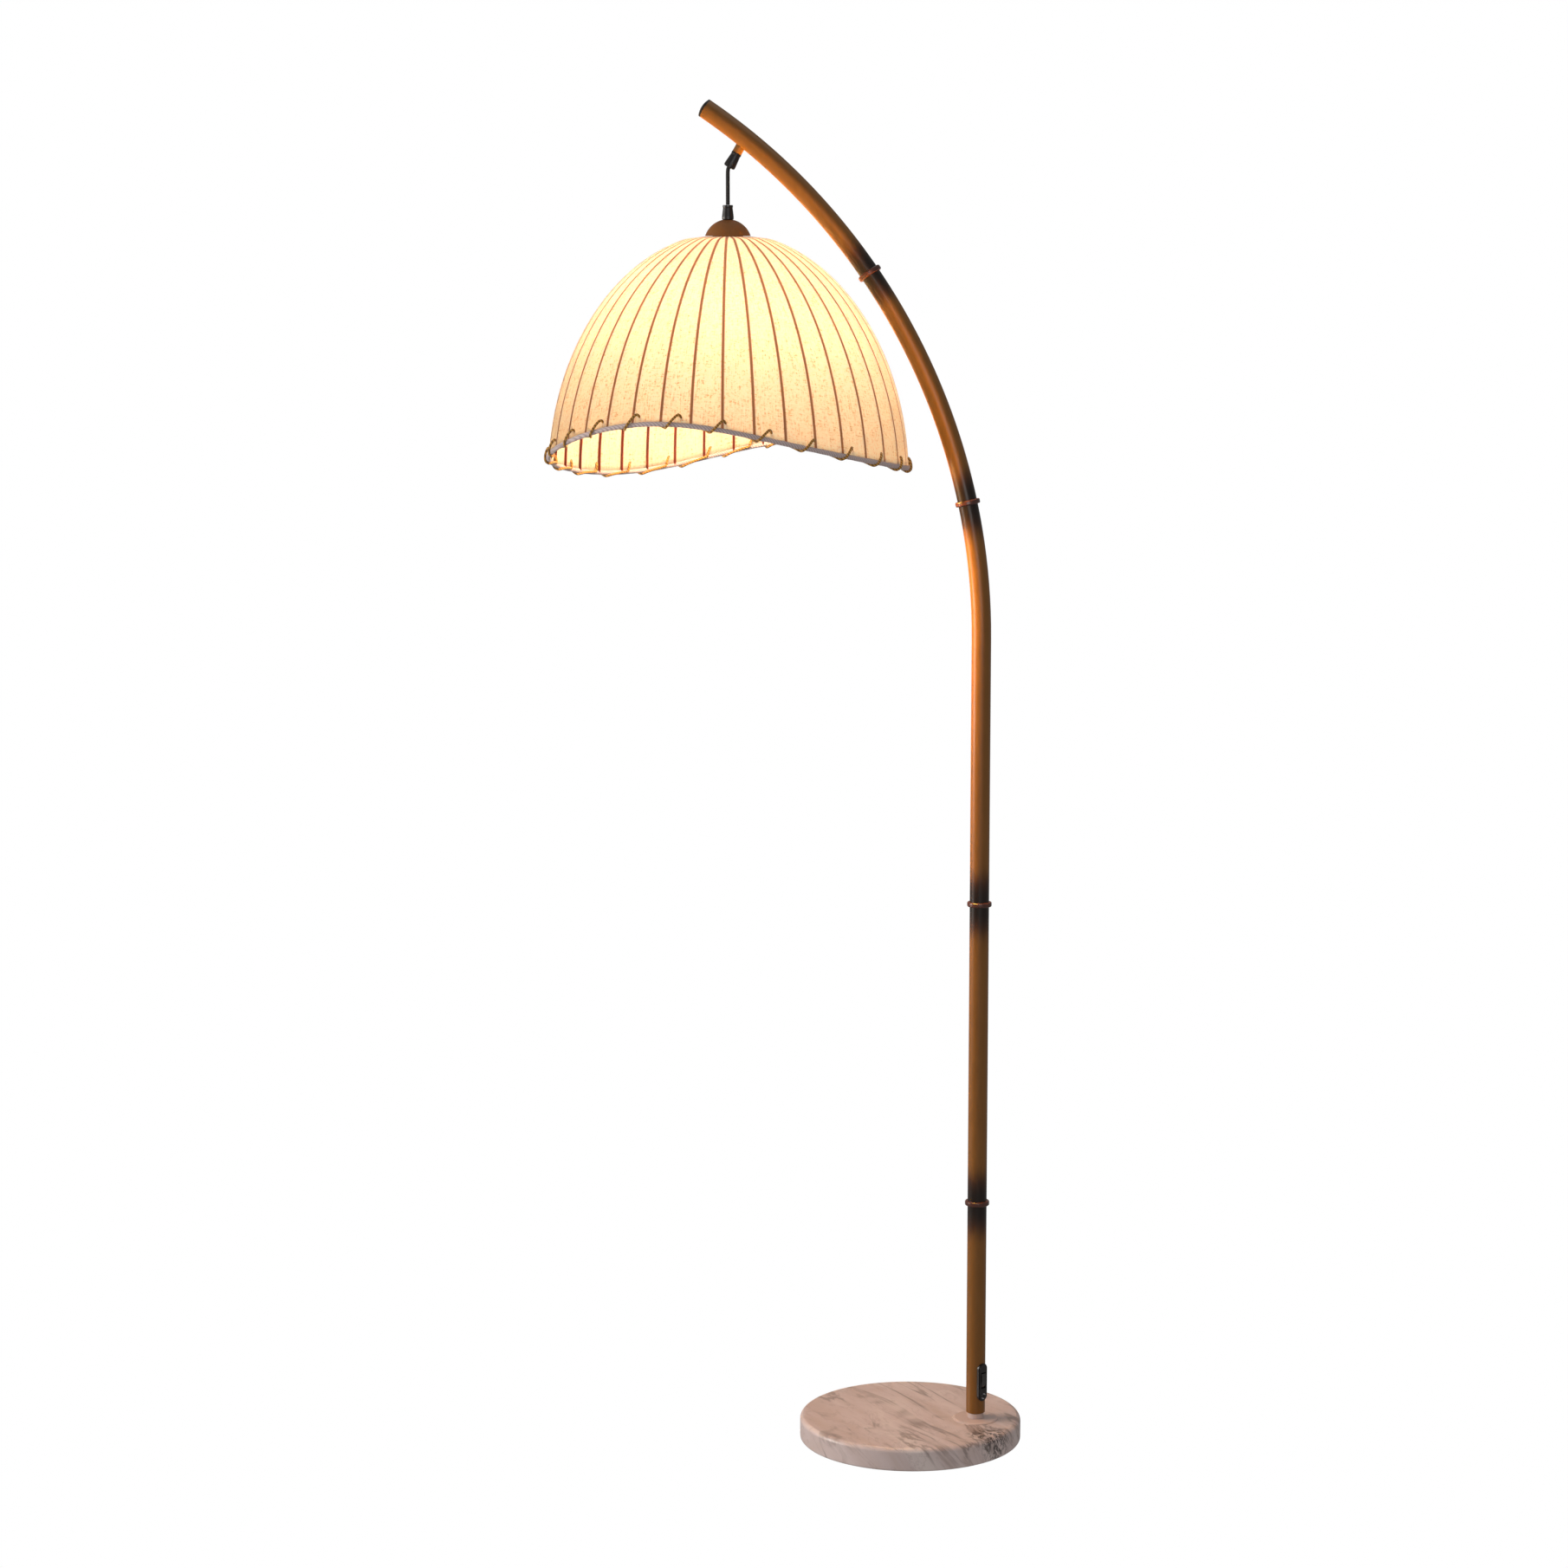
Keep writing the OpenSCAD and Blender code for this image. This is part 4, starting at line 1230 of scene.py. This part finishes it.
    def cut_area(self) -> float:
        """The cloth's flat area: narrow strips, added up along the meridians.

        Returns:
            The area.
        """
        rows, turns, total = 40, 72, 0.0
        for step in range(turns):
            turn = math.tau * step / turns
            line = [self.meridian(turn, row / rows, 0.0, self.cloth_low) for row in range(rows + 1)]
            for (r0, z0), (r1, z1) in zip(line, line[1:]):
                total += math.hypot(r1 - r0, z1 - z0) * (r0 + r1) / 2 * math.tau / turns
        return total


def dress(node: str, finish: bpy.types.Material) -> None:
    """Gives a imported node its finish.

    Args:
        node: the node's name.
        finish: the material for all of it.
    """
    piece = FRAME["nodes"][node]
    piece.data.materials.clear()
    piece.data.materials.append(finish)
    LOG.info("%s: %s", node, finish.name)


@dataclass(frozen=True)
class Fittings:
    """The cord grips, canopy, lampholder, bulb, switch and the pieces inside the stand."""

    glass_radius: float = 0.03
    bulb_watts: float = 6.5
    bulb_colour: Colour = (1.0, 0.76, 0.54)
    bulb_light_r: float = 0.02

    def build(self) -> None:
        """Dresses every remaining node and lights the bulb."""
        black = Finish("black_nylon", tint(27, 22, 21), 0.38, vary=0.1, grain=1400.0).build()
        rubber = Finish("black_flex", tint(26, 24, 24), 0.48, grain=2000.0).build()
        zinc = Finish("zinc_plate", tint(186, 186, 186), 0.34, 1.0, vary=0.08).build()
        brass = Finish("pressed_brass", tint(214, 176, 104), 0.3, 1.0, vary=0.06).build()
        finishes = {
            black: ("arm_end_cap", "arm_grip", "arm_grip_screw", "pendant_grip", "pendant_grip_screw",
                    "switch_housing", "dimmer_button", "holder_cap", "holder_body", "shade_ring"),
            rubber: ("cable_grommet", "pole_cable", "arm_cable", "holder_lead"),
            zinc: ("base_nut", "base_washer", "hollow_stud", "foot_insert", "coupler_1", "coupler_2",
                   "coupler_3", "coupler_4", "lamp_nipple", "lock_nut"),
            brass: ("holder_shell", "holder_contact"),
            Finish("glossy_rocker", tint(38, 33, 32), 0.25, coat=0.4, vary=0.08).build(): ("switch_rocker",),
            Finish("mirror_chrome", tint(226, 226, 228), 0.08, 1.0, vary=0.03).build(): ("dimmer_ring",),
            Finish("circuit_board", tint(30, 76, 48), 0.4).build(): ("switch_module",),
            Finish("white_ceramic", tint(236, 234, 228), 0.35, vary=0.03).build(): ("holder_insulator",),
            Finish("rolled_alloy", tint(196, 194, 188), 0.3, 1.0, vary=0.06).build(): ("bulb_cap",),
            Glow("lit_bulb", tint(255, 226, 176), strength=4.0).build(): ("bulb_glass",),
            Glow("lit_strips", tint(255, 210, 130), strength=9.0).build(): ("bulb_filament",),
            Finish("bronze_enamel", tint(134, 82, 28), 0.6, vary=0.08).build(): ("canopy_cap",),
        }
        for finish, names in finishes.items():
            for name in names:
                dress(name, finish)
        self.light()

    def light(self) -> None:
        """Puts a warm light in the bulb."""
        for name in ("bulb_glass", "bulb_filament", "bulb_cap"):
            FRAME["nodes"][name].visible_shadow = False
        low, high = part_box("bulb_glass")
        point_light("bulb_light", self.bulb_watts, self.bulb_colour, self.bulb_light_r,
                    ((low.x + high.x) / 2, 0.0, low.z + self.glass_radius))


def ring_runs(bend_x: float) -> tuple[float, ...]:
    """Distance of each bamboo ring along the tube from the start of the bend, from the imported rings.

    Args:
        bend_x: X of the bend's centre.

    Returns:
        One distance for each ring, negative on the straight pole.
    """
    runs = []
    for number in range(1, 5):
        low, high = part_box(f"node_ring_{number}")
        middle = (low + high) / 2
        above = middle.z - BEND_Z
        runs.append(above if above < 0 else BEND_R * math.atan2(above, middle.x - bend_x))
    return tuple(runs)


def main() -> None:
    """Builds the looks in order."""
    logging.basicConfig(level=logging.INFO, format="%(name)s: %(message)s")
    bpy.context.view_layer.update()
    studio = Studio()
    studio.camera()
    Flex(Finish("hanging_flex", tint(17, 13, 13), 0.6, grain=2000.0).build()).build()
    studio.build()

    low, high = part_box("pole_section_2")
    bend_x = (low.x + high.x) / 2 - BEND_R
    paint = BambooPaint("scorched_bamboo_paint", tint(126, 82, 32), 0.34, coat=0.12, bend_x=bend_x,
                        rings=ring_runs(bend_x)).build()
    ring_paint = Finish("dark_ring_paint", tint(70, 32, 20), 0.32, coat=0.25).build()
    Stand(paint, ring_paint).build()
    Fittings().build()

    low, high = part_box("shade_fabric")
    linen = Linen("lit_linen", tint(252, 235, 203), axis_x=(low.x + high.x) / 2).build()
    wire = Finish("lacquered_wire", tint(104, 30, 11), 0.45).build()
    tape = Twine("hem_tape", tint(204, 186, 184), groove_shade=tint(172, 152, 150), pitch=900.0).build()
    lace = Twine("lace_cord", tint(196, 146, 68), groove_shade=tint(122, 80, 30)).build()
    Shade(linen, wire, tape, lace).build()


if __name__ == "__main__":
    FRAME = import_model()
    main()
